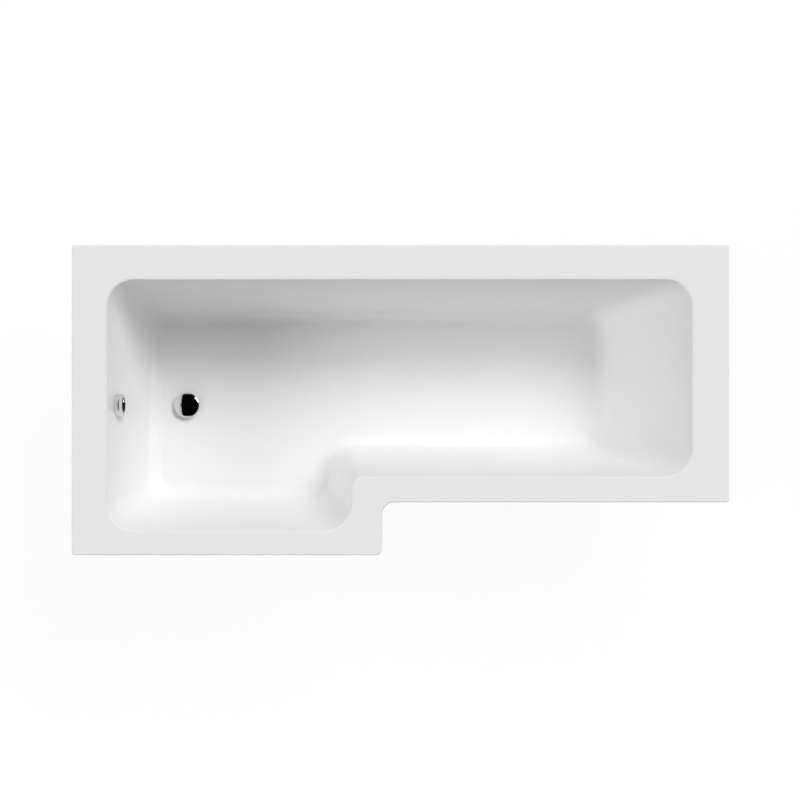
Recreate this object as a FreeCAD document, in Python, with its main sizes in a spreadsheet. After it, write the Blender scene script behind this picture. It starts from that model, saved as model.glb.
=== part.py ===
"""An L-shaped shower bath on an adjustable leg set, with its click waste and overflow.

Millimetres. +X runs along the bath to the sloping backrest, +Y to the wall behind it, +Z up.
The origin is on the floor, under the middle of the bath's outline.
"""

import FreeCAD, Part
import math
import os
import re

import Sketcher

Vector = FreeCAD.Vector

# Driving dimensions. Every cell of the sheet holds one of these numbers under its name.
SIZES = {
    # Outline and rim
    "overall_length": 1800,
    "shower_end_width": 850,
    "rest_end_width": 705,
    "shower_end_length": 850,
    "rim_height": 560,
    "lip_depth": 40,
    "sheet_thickness": 5,
    "rim_left": 95.5,
    "rim_back": 95.5,
    "rim_right": 100,
    "rim_rest_front": 70,
    "rim_shower_front": 66,
    "rim_step": 84,
    "outer_corner_radius": 7,
    "lip_inside_radius": 3,
    "step_corner_radius": 18,
    "nook_radius": 35,
    "rim_edge_radius": 5.2,
    "well_edge_radius": 6,
    # Well
    "well_depth": 400,
    "lean_left": 80,
    "lean_right": 205,
    "lean_back": 79,
    "lean_front": 79,
    "lean_step": 80,
    "well_corner_radius": 77,
    "well_nook_radius": 37,
    "floor_corner_radius": 60,
    "floor_nook_radius": 75,
    "floor_bend_radius": 45,
    # Laminate, board and battens under the sheet
    "bond_line": 0.3,
    "backing_thickness": 3,
    "board_thickness": 18,
    "board_overhang": 28,
    "board_width": 300,
    "board_waste_gap": 80,
    "batten_width": 45,
    "batten_thickness": 18,
    "batten_gap": 0.5,
    # Leg set
    "bar_width": 40,
    "bar_height": 25,
    "bar_gauge": 2.5,
    "bar_bend_radius": 3.5,
    "bar_end_margin": 25,
    "shower_bar_from_left": 500,
    "rest_bar_from_right": 470,
    "foot_inset_front": 75,
    "foot_inset_back": 95,
    "hat_web_width": 50,
    "hat_flange_width": 26,
    "hat_height": 40,
    "hat_length": 60,
    "stud_diameter": 12,
    "stud_running_gap": 0.05,
    "stud_hole_gap": 0.6,
    "stud_above_bar": 32,
    "nut_across_flats": 19,
    "nut_thickness": 10,
    "pad_diameter": 56,
    "pad_flange_thickness": 7,
    "pad_height": 26,
    "pad_neck_diameter": 24,
    "pad_floor_thickness": 6,
    "screw_diameter": 5,
    "screw_hole_gap": 0.3,
    "screw_head_diameter": 10,
    "screw_head_thickness": 2.6,
    "screw_bite": 14,
    "bar_screw_spacing": 200,
    # Wall brackets
    "bracket_width": 60,
    "bracket_gauge": 2.5,
    "bracket_leg": 38,
    "bracket_drop": 50,
    "bracket_lip_gap": 1.5,
    "bracket_hole_spacing": 30,
    "bracket_hole_diameter": 5.5,
    "bracket_hole_drop": 30,
    "bracket_from_end": 400,
    "end_bracket_from_back": 250,
    # Waste and click plug
    "waste_from_left": 278,
    "waste_hole_diameter": 52,
    "waste_flange_diameter": 68,
    "waste_flange_thickness": 3,
    "waste_top_seal_thickness": 1.5,
    "waste_bottom_seal_thickness": 4,
    "waste_seal_width": 10,
    "seal_inset": 2,
    "barrel_diameter": 44,
    "barrel_wall": 2.5,
    "barrel_length": 40,
    "barrel_thread_gap": 0.1,
    "spider_thickness": 6,
    "spider_arm_width": 5,
    "spider_ring_diameter": 25,
    "cartridge_diameter": 18,
    "cartridge_fit_gap": 0.1,
    "cartridge_collar_diameter": 22,
    "cartridge_collar_thickness": 2,
    "cartridge_wall": 2.5,
    "plug_diameter": 73,
    "plug_dome_radius": 97,
    "plug_edge_thickness": 3,
    "plug_travel": 7,
    "plug_seal_thickness": 2,
    "plug_seat_gap": 0.3,
    "stem_diameter": 9,
    "stem_running_gap": 0.05,
    "stem_collar_diameter": 12,
    "stem_collar_thickness": 3,
    "stem_guide_length": 10,
    "spring_wire": 1,
    "spring_pitch": 3.2,
    "spring_diameter": 10.4,
    "spring_end_gap": 0.3,
    # Tee under the waste
    "tee_flange_diameter": 84,
    "tee_flange_thickness": 5,
    "tee_body_diameter": 56,
    "tee_wall": 3.5,
    "tee_drop": 72,
    "outlet_diameter": 47.8,
    "outlet_bore": 40,
    "outlet_length": 18,
    "inlet_drop": 48,
    "inlet_reach": 26,
    # Overflow
    "overflow_drop": 91,
    "overflow_hole_diameter": 48,
    "overflow_cap_diameter": 62.5,
    "overflow_cap_depth": 15,
    "overflow_cap_wall": 2,
    "overflow_cap_edge_radius": 1.2,
    "overflow_cap_wall_gap": 0.5,
    "cap_slot_width": 9,
    "cap_slot_height": 5,
    "cap_slot_spacing": 14,
    "cap_slot_rise": 4,
    "grid_thickness": 3,
    "grid_fit_gap": 0.2,
    "grid_hole_diameter": 11,
    "grid_hole_circle": 30,
    "overflow_screw_diameter": 6,
    "overflow_screw_head_diameter": 12,
    "overflow_screw_head_thickness": 3,
    "overflow_screw_length": 36,
    "overflow_screw_bite": 30,
    "overflow_seal_thickness": 4,
    "elbow_flange_diameter": 62,
    "elbow_flange_thickness": 4,
    "elbow_cup_diameter": 54,
    "elbow_cup_depth": 36,
    "elbow_wall": 2.5,
    "elbow_boss_diameter": 14,
    "spigot_reach": 52,
    # Hose between the overflow and the tee
    "hose_diameter": 34,
    "hose_root_diameter": 30,
    "hose_bore": 26,
    "hose_rib_pitch": 6,
    "hose_cuff_length": 34,
    "hose_bend_radius": 95,
    "hose_seal_thickness": 2,
    "hose_nut_diameter": 46,
    "hose_nut_length": 26,
    "hose_nut_gap": 0.4,
}

# Places worked out from the sizes, spelt out wherever an expression names one.
PLACES = {
    "left_end": "-overall_length / 2",
    "right_end": "overall_length / 2",
    "back_side": "shower_end_width / 2",
    "shower_front": "-shower_end_width / 2",
    "rest_front": "back_side - rest_end_width",
    "step_side": "left_end + shower_end_length",
    "deck_under": "rim_height - sheet_thickness",
    "lip_bottom": "rim_height - lip_depth",
    "floor_top": "rim_height - well_depth",
    "backing_start": "sheet_thickness + bond_line",
    "laminate": "backing_start + backing_thickness",
    "backing_under": "floor_top - laminate",
    "board_under": "backing_under - board_thickness",
    "batten_under": "deck_under - batten_thickness",
    "slant_left": "sqrt(1 + (lean_left / well_depth)^2)",
    "slant_right": "sqrt(1 + (lean_right / well_depth)^2)",
    "slant_back": "sqrt(1 + (lean_back / well_depth)^2)",
    "slant_front": "sqrt(1 + (lean_front / well_depth)^2)",
    "slant_step": "sqrt(1 + (lean_step / well_depth)^2)",
    # The well's step wall, how much of it its rounds may take, and how much of a floor corner's round
    # the floor's bend may take, so that both give way on a short step
    "step_rounds_limit": "0.93",
    "floor_bend_limit": "0.8",
    "step_wall": "shower_end_width - rest_end_width + rim_rest_front - rim_shower_front",
    "floor_rounds": "floor_corner_radius + floor_nook_radius",
    "step_rounds": "max(well_corner_radius + well_nook_radius; floor_rounds)",
    "step_share": "min(1; step_rounds_limit * step_wall / step_rounds)",
    "floor_bend": "min(floor_bend_radius; floor_bend_limit * floor_corner_radius * step_share)",
    # Middle line of the level floor, and of the shower end
    "floor_back_y": "back_side - rim_back - lean_back",
    "floor_rest_front_y": "rest_front + rim_rest_front + lean_front",
    "board_middle_y": "(floor_back_y + floor_rest_front_y) / 2",
    "waste_x": "left_end + waste_from_left",
    "waste_y": "(back_side - rim_back + shower_front + rim_shower_front) / 2",
    # Leg set
    "board_left": "waste_x + board_waste_gap",
    "shower_bar_x": "left_end + shower_bar_from_left",
    "rest_bar_x": "right_end - rest_bar_from_right",
    "board_right": "rest_bar_x + board_overhang",
    "middle_foot_x": "(board_left + board_right) / 2",
    "back_foot_y": "back_side - foot_inset_back",
    "shower_foot_y": "shower_front + foot_inset_front",
    "rest_foot_y": "rest_front + foot_inset_front",
    "stud_hole_radius": "stud_diameter / 2 + stud_hole_gap",
    "screw_hole_radius": "screw_diameter / 2 + screw_hole_gap",
    # Waste stack
    "flange_under": "floor_top + waste_top_seal_thickness",
    "flange_top": "flange_under + waste_flange_thickness",
    "barrel_bottom": "flange_under - barrel_length",
    "barrel_bore_radius": "(barrel_diameter / 2 - barrel_wall)",
    "spider_top": "barrel_bottom + spider_thickness",
    "cap_under": "flange_top + plug_seal_thickness + plug_seat_gap + plug_travel",
    "cap_top": "cap_under + plug_edge_thickness + dome_rise",
    "dome_rise": "plug_dome_radius - sqrt(plug_dome_radius^2 - plug_diameter^2 / 4)",
    "guide_bottom": "flange_under - stem_guide_length",
    "collar_top": "guide_bottom - plug_seat_gap",
    "collar_bottom": "collar_top - stem_collar_thickness",
    "chamber_bottom": "barrel_bottom + cartridge_wall",
    "chamber_radius": "stem_collar_diameter / 2 + plug_seat_gap",
    "tee_top": "backing_under - waste_bottom_seal_thickness",
    "tee_bottom": "tee_top - tee_drop",
    "inlet_z": "tee_top - inlet_drop",
    "inlet_end_x": "waste_x - tee_body_diameter / 2 - inlet_reach",
    # Overflow: a point on the well's end wall, and the wall's lean there
    "overflow_x": "left_end + rim_left + lean_left * overflow_drop / well_depth",
    "overflow_z": "rim_height - overflow_drop",
    "cap_bore_radius": "overflow_cap_diameter / 2 - overflow_cap_wall",
    "elbow_start": "laminate + overflow_seal_thickness",
    "elbow_end": "elbow_start + elbow_cup_depth",
    "spigot_x": "overflow_x - (elbow_start + elbow_cup_depth / 2) / slant_left",
    "spigot_top": "overflow_z - (elbow_start + elbow_cup_depth / 2) * lean_left / well_depth / slant_left",
    "spigot_bottom": "spigot_top - spigot_reach",
    "hose_top": "spigot_bottom - hose_seal_thickness",
    "hose_end_x": "inlet_end_x - hose_seal_thickness",
}

GRID_HOLES = 6

# How far a cutter runs past the face that it opens
PAST = 1

# An edge closer to a level than this lies on it
NEAR = 1e-3

doc = FreeCAD.newDocument("shower_bath")
sheet = doc.addObject("Spreadsheet::Sheet", "sizes")
pieces = []


def fill_sheet():
    """Writes each driving dimension into its own named cell."""
    for row, (name, value) in enumerate(SIZES.items(), start=1):
        sheet.set(f"A{row}", name)
        sheet.set(f"B{row}", str(value))
        sheet.setAlias(f"B{row}", name)
    doc.recompute()


def link(expression):
    """Points an expression's words at the sheet's cells, with the named places spelt out."""

    def word(match):
        name = match.group()
        if name in SIZES:
            return "sizes." + name
        if name in PLACES:
            return "(" + link(PLACES[name]) + ")"
        return name

    return re.sub(r"[a-z][a-z_]*", word, str(expression))


def number(expression):
    """The value of an expression now, as a plain number."""
    return float(sheet.evalExpression(link(expression)))


def bind(thing, **properties):
    """Binds properties of a document object to expressions. A double underscore stands for a dot."""
    for name, expression in properties.items():
        thing.setExpression(name.replace("__", "."), link(expression))


def move(thing, x="0", y="0", z="0"):
    """Binds where a document object stands."""
    bind(thing, Placement__Base__x=x, Placement__Base__y=y, Placement__Base__z=z)


def around(middle, half):
    """The two ends of a span, from its middle and half its length."""
    return f"({middle}) - ({half})", f"({middle}) + ({half})"


def keep(label, thing):
    """Names a finished sub-part and lists it for export."""
    thing.Label = label
    pieces.append(thing)
    return thing


# Part primitives and booleans


def box(name, x, y, z):
    """A block between two expressions along each axis."""
    block = doc.addObject("Part::Box", name)
    for (start, end), side in zip((x, y, z), ("Length", "Width", "Height")):
        bind(block, **{side: f"({end}) - ({start})"})
    move(block, x[0], y[0], z[0])
    return block


def rod(name, radius, bottom, top, x="0", y="0"):
    """An upright cylinder."""
    cylinder = doc.addObject("Part::Cylinder", name)
    bind(cylinder, Radius=radius, Height=f"({top}) - ({bottom})")
    move(cylinder, x, y, bottom)
    return cylinder


def cone(name, low_radius, high_radius, bottom, top, x="0", y="0"):
    """An upright cone with its point cut off."""
    body = doc.addObject("Part::Cone", name)
    bind(body, Radius1=low_radius, Radius2=high_radius, Height=f"({top}) - ({bottom})")
    move(body, x, y, bottom)
    return body


def lying_rod(name, radius, left, right, y, z):
    """A cylinder along X."""
    cylinder = doc.addObject("Part::Cylinder", name)
    bind(cylinder, Radius=radius, Height=f"({right}) - ({left})")
    cylinder.Placement.Rotation = FreeCAD.Rotation(Vector(0, 1, 0), 90)
    move(cylinder, left, y, z)
    return cylinder


def joined(name, *shapes):
    fusion = doc.addObject("Part::MultiFuse", name)
    fusion.Shapes = list(shapes)
    return fusion


def less(name, base, *tools):
    """The base with the tools cut away."""
    cut = doc.addObject("Part::Cut", name)
    cut.Base = base
    cut.Tool = tools[0] if len(tools) == 1 else joined(name + "_cutters", *tools)
    return cut


def ring(name, outer_radius, inner_radius, bottom, top, x="0", y="0"):
    """An upright ring; its bore runs past both faces."""
    blank = rod(name + "_blank", outer_radius, bottom, top, x, y)
    bore = rod(name + "_bore", inner_radius, f"({bottom}) - {PAST}", f"({top}) + {PAST}", x, y)
    return less(name, blank, bore)


def lying_ring(name, outer_radius, inner_radius, left, right, y, z):
    """A ring along X."""
    blank = lying_rod(name + "_blank", outer_radius, left, right, y, z)
    bore = lying_rod(name + "_bore", inner_radius, f"({left}) - {PAST}", f"({right}) + {PAST}", y, z)
    return less(name, blank, bore)


def group(name, *shapes):
    """Separate solids kept together in one sub-part."""
    compound = doc.addObject("Part::Compound", name)
    compound.Links = list(shapes)
    return compound


def overflow_rod(name, radius, start, end):
    """A cylinder square to the well's end wall, between two distances from the wall into the well."""
    cylinder = doc.addObject("Part::Cylinder", name)
    bind(cylinder, Radius=radius, Height=f"({end}) - ({start})")
    on_overflow_axis(cylinder)
    rise = f"({start}) * lean_left / well_depth / slant_left"
    move(cylinder, f"overflow_x + ({start}) / slant_left", "waste_y", f"overflow_z + {rise}")
    return cylinder


def on_overflow_axis(thing):
    """Turns a piece built along +Z from the origin so that it stands square on the well's end wall."""
    thing.Placement.Rotation = FreeCAD.Rotation(Vector(0, 1, 0), 90)
    bind(thing, Placement__Rotation__Angle="90 deg - atan(lean_left / well_depth)")
    move(thing, "overflow_x", "waste_y", "overflow_z")
    return thing


# Sketches and bodies


def plane(body, role):
    return next(feature for feature in body.Origin.OriginFeatures if feature.Role == role)


def new_sketch(body, name, role, height="0"):
    """A sketch on one of the body's own planes, moved along that plane's normal."""
    sketch = body.newObject("Sketcher::SketchObject", name)
    sketch.AttachmentSupport = [(plane(body, role), "")]
    sketch.MapMode = "FlatFace"
    bind(sketch, AttachmentOffset__Base__z=height)
    return sketch


def constrain(sketch, name, expression, *reference):
    """Adds a dimension to a sketch and binds it."""
    index = sketch.addConstraint(Sketcher.Constraint(*reference, number(expression)))
    sketch.renameConstraint(index, name)
    sketch.setExpression(f"Constraints.{name}", link(expression))


def polygon(sketch, points):
    """A closed outline of straight sides, with every corner dimensioned from the origin."""
    first = sketch.GeometryCount
    count = len(points)
    corners = [Vector(number(u), number(v), 0) for u, v in points]
    for i in range(count):
        sketch.addGeometry(Part.LineSegment(corners[i], corners[(i + 1) % count]))
    for i in range(count):
        sketch.addConstraint(Sketcher.Constraint("Coincident", first + i, 2, first + (i + 1) % count, 1))
    for i, (u, v) in enumerate(points, start=first):
        constrain(sketch, f"across{i}", u, "DistanceX", -1, 1, i, 1)
        constrain(sketch, f"up{i}", v, "DistanceY", -1, 1, i, 1)


def circles(sketch, rounds):
    """Circles of (x, y, radius), each dimensioned from the origin."""
    for i, (u, v, radius) in enumerate(rounds):
        middle = Vector(number(u), number(v), 0)
        sketch.addGeometry(Part.Circle(middle, Vector(0, 0, 1), number(radius)))
        constrain(sketch, f"across{i}", u, "DistanceX", -1, 1, i, 3)
        constrain(sketch, f"up{i}", v, "DistanceY", -1, 1, i, 3)
        constrain(sketch, f"radius{i}", radius, "Radius", i)


def l_outline(sketch, sides, radii):
    """The bath's L with a round at each corner, anticlockwise from the back left corner.

    sides holds the expressions left, shower front, step, rest front, right and back; radii holds one
    for each corner in the order of the walk.
    """
    left, front, step, rest, right, back = sides
    walk = [(left, back), (left, front), (step, front), (step, rest), (right, rest), (right, back)]
    corners = [Vector(number(x), number(y), 0) for x, y in walk]
    reach = [number(radius) for radius in radii]
    count = len(corners)
    ahead = [(corners[(i + 1) % count] - corners[i]).normalize() for i in range(count)]
    for i in range(count):
        start = corners[i] + ahead[i] * reach[i]
        end = corners[(i + 1) % count] - ahead[i] * reach[(i + 1) % count]
        sketch.addGeometry(Part.LineSegment(start, end))
    for i in range(count):
        before = ahead[i - 1]
        turns_left = before.cross(ahead[i]).z > 0
        middle = corners[i] + (ahead[i] - before) * reach[i]
        arrive = corners[i] - before * reach[i] - middle
        leave = corners[i] + ahead[i] * reach[i] - middle
        first, last = (arrive, leave) if turns_left else (leave, arrive)
        whole = Part.Circle(middle, Vector(0, 0, 1), reach[i])
        angles = [math.atan2(spoke.y, spoke.x) for spoke in (first, last)]
        arc = sketch.addGeometry(Part.ArcOfCircle(whole, *angles))
        arrive_point, leave_point = (1, 2) if turns_left else (2, 1)
        sketch.addConstraint(Sketcher.Constraint("Tangent", (i - 1) % count, 2, arc, arrive_point))
        sketch.addConstraint(Sketcher.Constraint("Tangent", arc, leave_point, i, 1))
        constrain(sketch, f"round{i}", radii[i], "Radius", arc)
    for i, side in enumerate(sides):
        upright = i % 2 == 0
        sketch.addConstraint(Sketcher.Constraint("Vertical" if upright else "Horizontal", i))
        constrain(sketch, f"side{i}", side, "DistanceX" if upright else "DistanceY", -1, 1, i, 1)


def rim_outline(sketch, inset, corner):
    """The rim's outline, drawn in by a distance, with its plain corners at a radius of their own."""
    sides = (
        f"left_end + {inset}",
        f"shower_front + {inset}",
        f"step_side - {inset}",
        f"rest_front + {inset}",
        f"right_end - {inset}",
        f"back_side - {inset}",
    )
    step, nook = f"step_corner_radius - {inset}", f"nook_radius + {inset}"
    l_outline(sketch, sides, (corner, corner, step, nook, corner, corner))


def well_outline(sketch, offset, drop):
    """The well's outline at a depth below the rim, moved outwards square to its leaning walls."""
    share = f"({drop}) / well_depth"
    sides = (
        f"left_end + rim_left - ({offset}) * slant_left + lean_left * {share}",
        f"shower_front + rim_shower_front - ({offset}) * slant_front + lean_front * {share}",
        f"step_side - rim_step + ({offset}) * slant_step - lean_step * {share}",
        f"rest_front + rim_rest_front - ({offset}) * slant_front + lean_front * {share}",
        f"right_end - rim_right + ({offset}) * slant_right - lean_right * {share}",
        f"back_side - rim_back + ({offset}) * slant_back - lean_back * {share}",
    )
    round_out = f"(well_corner_radius + (floor_corner_radius - well_corner_radius) * {share})"
    round_in = f"(well_nook_radius + (floor_nook_radius - well_nook_radius) * {share})"
    corner = f"{round_out} + ({offset})"
    step, nook = f"{round_out} * step_share + ({offset})", f"{round_in} * step_share - ({offset})"
    l_outline(sketch, sides, (corner, corner, step, nook, corner, corner))


def round_edges(body, name, radius, wanted):
    """A fillet on those of the body's edges that a test picks."""
    base = body.Tip
    names = [f"Edge{i}" for i, edge in enumerate(base.Shape.Edges, start=1) if wanted(edge)]
    fillet = body.newObject("PartDesign::Fillet", name)
    fillet.Base = (base, names)
    bind(fillet, Radius=radius)
    doc.recompute()
    return fillet


def level_edge(height):
    """A test for edges that lie level at a height."""
    z = number(height)
    return lambda edge: abs(edge.BoundBox.ZMax - z) < NEAR and abs(edge.BoundBox.ZMin - z) < NEAR


def well_block(name, offset, top_drop):
    """A solid that fills the well, moved outwards square to its walls and rounded at its floor."""
    body = doc.addObject("PartDesign::Body", name)
    bottom_drop = f"well_depth + {offset}"
    levels = []
    for level, drop in (("upper", top_drop), ("lower", bottom_drop)):
        sketch = new_sketch(body, f"{name}_{level}", "XY_Plane", f"rim_height - ({drop})")
        well_outline(sketch, offset, drop)
        levels.append(sketch)
    loft = body.newObject("PartDesign::AdditiveLoft", name + "_walls")
    loft.Profile = levels[0]
    loft.Sections = levels[1:]
    loft.Ruled = True
    doc.recompute()
    bend = level_edge(f"rim_height - ({bottom_drop})")
    round_edges(body, name + "_bend", f"floor_bend + {offset}", bend)
    return body


def combine(body, name, kind, tool):
    """Adds another body to this one, or cuts it out."""
    boolean = body.newObject("PartDesign::Boolean", name)
    boolean.setObjects([tool])
    boolean.Type = kind
    doc.recompute()
    return boolean


def drill(body, name, sketch, depth=None):
    """Cuts a sketch through the body against its normal, or to a depth shared by its two sides."""
    before = body.Tip.Shape.Volume
    pocket = body.newObject("PartDesign::Pocket", name)
    pocket.Profile = sketch
    if depth:
        pocket.Midplane = True
        bind(pocket, Length=depth)
    else:
        pocket.Type = "ThroughAll"
    doc.recompute()
    if pocket.Shape.Volume >= before:
        raise RuntimeError(f"{name} cut nothing")
    return pocket


def drill_waste_and_overflow(body, gap):
    """The waste hole through the floor and the overflow hole through the end wall."""
    waste = new_sketch(body, body.Name + "_waste_hole", "XY_Plane", "rim_height")
    circles(waste, [("waste_x", "waste_y", f"waste_hole_diameter / 2 + {gap}")])
    drill(body, body.Name + "_waste", waste)
    overflow = new_sketch(body, body.Name + "_overflow_hole", "YZ_Plane", "overflow_x")
    overflow.AttachmentOffset.Rotation = FreeCAD.Rotation(Vector(1, 0, 0), -1)
    bind(
        overflow,
        AttachmentOffset__Base__x="waste_y",
        AttachmentOffset__Base__y="overflow_z",
        AttachmentOffset__Rotation__Angle="-atan(lean_left / well_depth)",
    )
    circles(overflow, [("0", "0", f"overflow_hole_diameter / 2 + {gap}")])
    drill(body, body.Name + "_overflow", overflow, "4 * laminate")


# The formed sheet and what is bonded under it


def well_edge_test():
    """A test for the level edges round the well's mouth, apart from those at the rim's outside."""
    at_rim = level_edge("rim_height")
    margin = number("rim_edge_radius") * 2
    left, right = number("left_end") + margin, number("right_end") - margin
    front, back = number("shower_front") + margin, number("back_side") - margin
    step, rest = number("step_side") - margin, number("rest_front") + margin

    def wanted(edge):
        box = edge.BoundBox
        in_rectangle = left < box.XMin and box.XMax < right and front < box.YMin and box.YMax < back
        in_l = box.XMax < step or box.YMin > rest
        return at_rim(edge) and in_rectangle and in_l

    return wanted


def make_bath_shell():
    """The white sheet: deck, turned-down lip and well in one forming."""
    body = doc.addObject("PartDesign::Body", "bath_shell")
    rim = new_sketch(body, "rim_profile", "XY_Plane", "rim_height")
    rim_outline(rim, "0", "outer_corner_radius")
    deck = body.newObject("PartDesign::Pad", "rim_block")
    deck.Profile = rim
    deck.Reversed = True
    bind(deck, Length="lip_depth")
    under = new_sketch(body, "rim_hollow_profile", "XY_Plane", "deck_under")
    rim_outline(under, "sheet_thickness", "lip_inside_radius")
    doc.recompute()
    drill(body, "rim_hollow", under)
    round_edges(body, "rim_edge", "rim_edge_radius", level_edge("rim_height"))
    combine(body, "well_wall", "Fuse", well_block("well_outside", "sheet_thickness", "sheet_thickness"))
    combine(body, "well", "Cut", well_block("well_inside", "0", "-2 * sheet_thickness"))
    round_edges(body, "well_edge", "well_edge_radius", well_edge_test())
    drill_waste_and_overflow(body, "0")
    return keep("bath_shell", body)


def make_backing():
    """The glass-fibre laminate that stiffens the well from outside."""
    body = well_block("backing_outside", "laminate", "sheet_thickness + bond_line")
    combine(body, "backing_hollow", "Cut", well_block("backing_inside", "backing_start", "-sheet_thickness"))
    drill_waste_and_overflow(body, "bond_line")
    return keep("glass_fibre_backing", body)


def screw_row(bar_x):
    """Where a leg bar is screwed up into the base board."""
    return [(bar_x, f"board_middle_y {sign} bar_screw_spacing / 2") for sign in "-+"]


def all_board_screws():
    """Every screw of the leg set: two through each bar, two through the middle foot's bracket."""
    reach = "(hat_web_width + hat_flange_width) / 2"
    hat = [(f"middle_foot_x {sign} {reach}", "board_middle_y") for sign in "-+"]
    return screw_row("shower_bar_x") + screw_row("rest_bar_x") + hat


def pilots(name, underside, spots):
    """Holes for screws driven upwards into a wooden piece."""
    top = f"{underside} + screw_bite + screw_hole_gap"
    return [
        rod(f"{name}_pilot_{i}", "screw_hole_radius", f"{underside} - {PAST}", top, x, y)
        for i, (x, y) in enumerate(spots)
    ]


def make_base_board():
    """The board bonded under the floor, which the leg set screws into."""
    blank = box(
        "board_blank",
        ("board_left", "board_right"),
        ("board_middle_y - board_width / 2", "board_middle_y + board_width / 2"),
        ("board_under", "backing_under"),
    )
    keep("base_board", less("board", blank, *pilots("board", "board_under", all_board_screws())))


def batten(label, x, y, screw_spots=()):
    """One strip under the deck, drilled where a wall bracket is screwed to it."""
    strip = box(label + "_strip", x, y, ("batten_under", "deck_under"))
    if screw_spots:
        strip = less(label + "_drilled", strip, *pilots(label, "batten_under", screw_spots))
    keep(label, strip)


def make_battens():
    """Six strips round the rim, just inside its lip."""
    edge = "(sheet_thickness + batten_gap)"
    deep = f"({edge} + batten_width)"
    end = "(sheet_thickness + lip_inside_radius)"
    apart = f"({deep} + batten_gap)"
    step_end = "(step_corner_radius + batten_gap)"
    batten(
        "rim_batten_back",
        (f"left_end + {end}", f"right_end - {end}"),
        (f"back_side - {deep}", f"back_side - {edge}"),
        [spot for x in BACK_BRACKETS for spot in back_bracket_screws(x)],
    )
    batten(
        "rim_batten_left",
        (f"left_end + {edge}", f"left_end + {deep}"),
        (f"shower_front + {end}", f"back_side - {apart}"),
        end_bracket_screws(),
    )
    batten(
        "rim_batten_right",
        (f"right_end - {deep}", f"right_end - {edge}"),
        (f"rest_front + {end}", f"back_side - {apart}"),
    )
    batten(
        "rim_batten_rest_front",
        (f"step_side + {step_end}", f"right_end - {apart}"),
        (f"rest_front + {edge}", f"rest_front + {deep}"),
    )
    batten(
        "rim_batten_step",
        (f"step_side - {deep}", f"step_side - {edge}"),
        (f"shower_front + {apart}", f"rest_front - {edge}"),
    )
    batten(
        "rim_batten_shower_front",
        (f"left_end + {apart}", f"step_side - {step_end}"),
        (f"shower_front + {edge}", f"shower_front + {deep}"),
    )


# Leg set


def make_leg_bar(label, bar_x, front_foot_y):
    """A pressed channel, open downwards, that crosses under the board and carries two feet."""
    body = doc.addObject("PartDesign::Body", label)
    profile = new_sketch(body, label + "_profile", "XZ_Plane")
    half, low = "bar_width / 2", "-bar_height"
    polygon(
        profile,
        [
            (f"-{half}", "0"),
            (f"-{half}", low),
            (f"bar_gauge - {half}", low),
            (f"bar_gauge - {half}", "-bar_gauge"),
            (f"{half} - bar_gauge", "-bar_gauge"),
            (f"{half} - bar_gauge", low),
            (half, low),
            (half, "0"),
        ],
    )
    channel = body.newObject("PartDesign::Pad", label + "_channel")
    channel.Profile = profile
    bind(channel, Length=f"back_foot_y - ({front_foot_y}) + 2 * bar_end_margin")
    doc.recompute()

    def bend_at(height):
        level = level_edge(height)
        return lambda edge: level(edge) and edge.BoundBox.YLength > number("bar_width")

    round_edges(body, label + "_outer_bend", "bar_bend_radius", bend_at("0"))
    round_edges(body, label + "_inner_bend", "bar_bend_radius - bar_gauge", bend_at("-bar_gauge"))
    back_end = "(back_foot_y + bar_end_margin)"
    rounds = [("0", f"{y} - {back_end}", "stud_hole_radius") for y in ("back_foot_y", front_foot_y)]
    rounds += [("0", f"{y} - {back_end}", "screw_hole_radius") for _, y in screw_row(bar_x)]
    holes = new_sketch(body, label + "_holes", "XY_Plane")
    circles(holes, rounds)
    drill(body, label + "_drilling", holes)
    move(body, bar_x, back_end, "board_under")
    keep(label, body)


def make_hat_bracket():
    """The pressed bracket that spaces the middle foot down from the board."""
    body = doc.addObject("PartDesign::Body", "hat_bracket")
    profile = new_sketch(body, "hat_profile", "XZ_Plane")
    half = "hat_web_width / 2"
    wide = "(hat_web_width / 2 + hat_flange_width)"
    polygon(
        profile,
        [
            (f"-{wide}", "0"),
            (f"-{wide}", "-bar_gauge"),
            (f"-{half}", "-bar_gauge"),
            (f"-{half}", "-hat_height"),
            (half, "-hat_height"),
            (half, "-bar_gauge"),
            (wide, "-bar_gauge"),
            (wide, "0"),
            (f"{half} - bar_gauge", "0"),
            (f"{half} - bar_gauge", "bar_gauge - hat_height"),
            (f"bar_gauge - {half}", "bar_gauge - hat_height"),
            (f"bar_gauge - {half}", "0"),
        ],
    )
    hat = body.newObject("PartDesign::Pad", "hat")
    hat.Profile = profile
    bind(hat, Length="hat_length")
    doc.recompute()
    middle = "-hat_length / 2"
    reach = "(hat_web_width + hat_flange_width) / 2"
    rounds = [("0", middle, "stud_hole_radius")]
    rounds += [(f"{sign}{reach}", middle, "screw_hole_radius") for sign in ("-", "")]
    holes = new_sketch(body, "hat_holes", "XY_Plane")
    circles(holes, rounds)
    drill(body, "hat_drilling", holes)
    move(body, "middle_foot_x", "board_middle_y + hat_length / 2", "board_under")
    keep("centre_foot_bracket", body)


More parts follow.
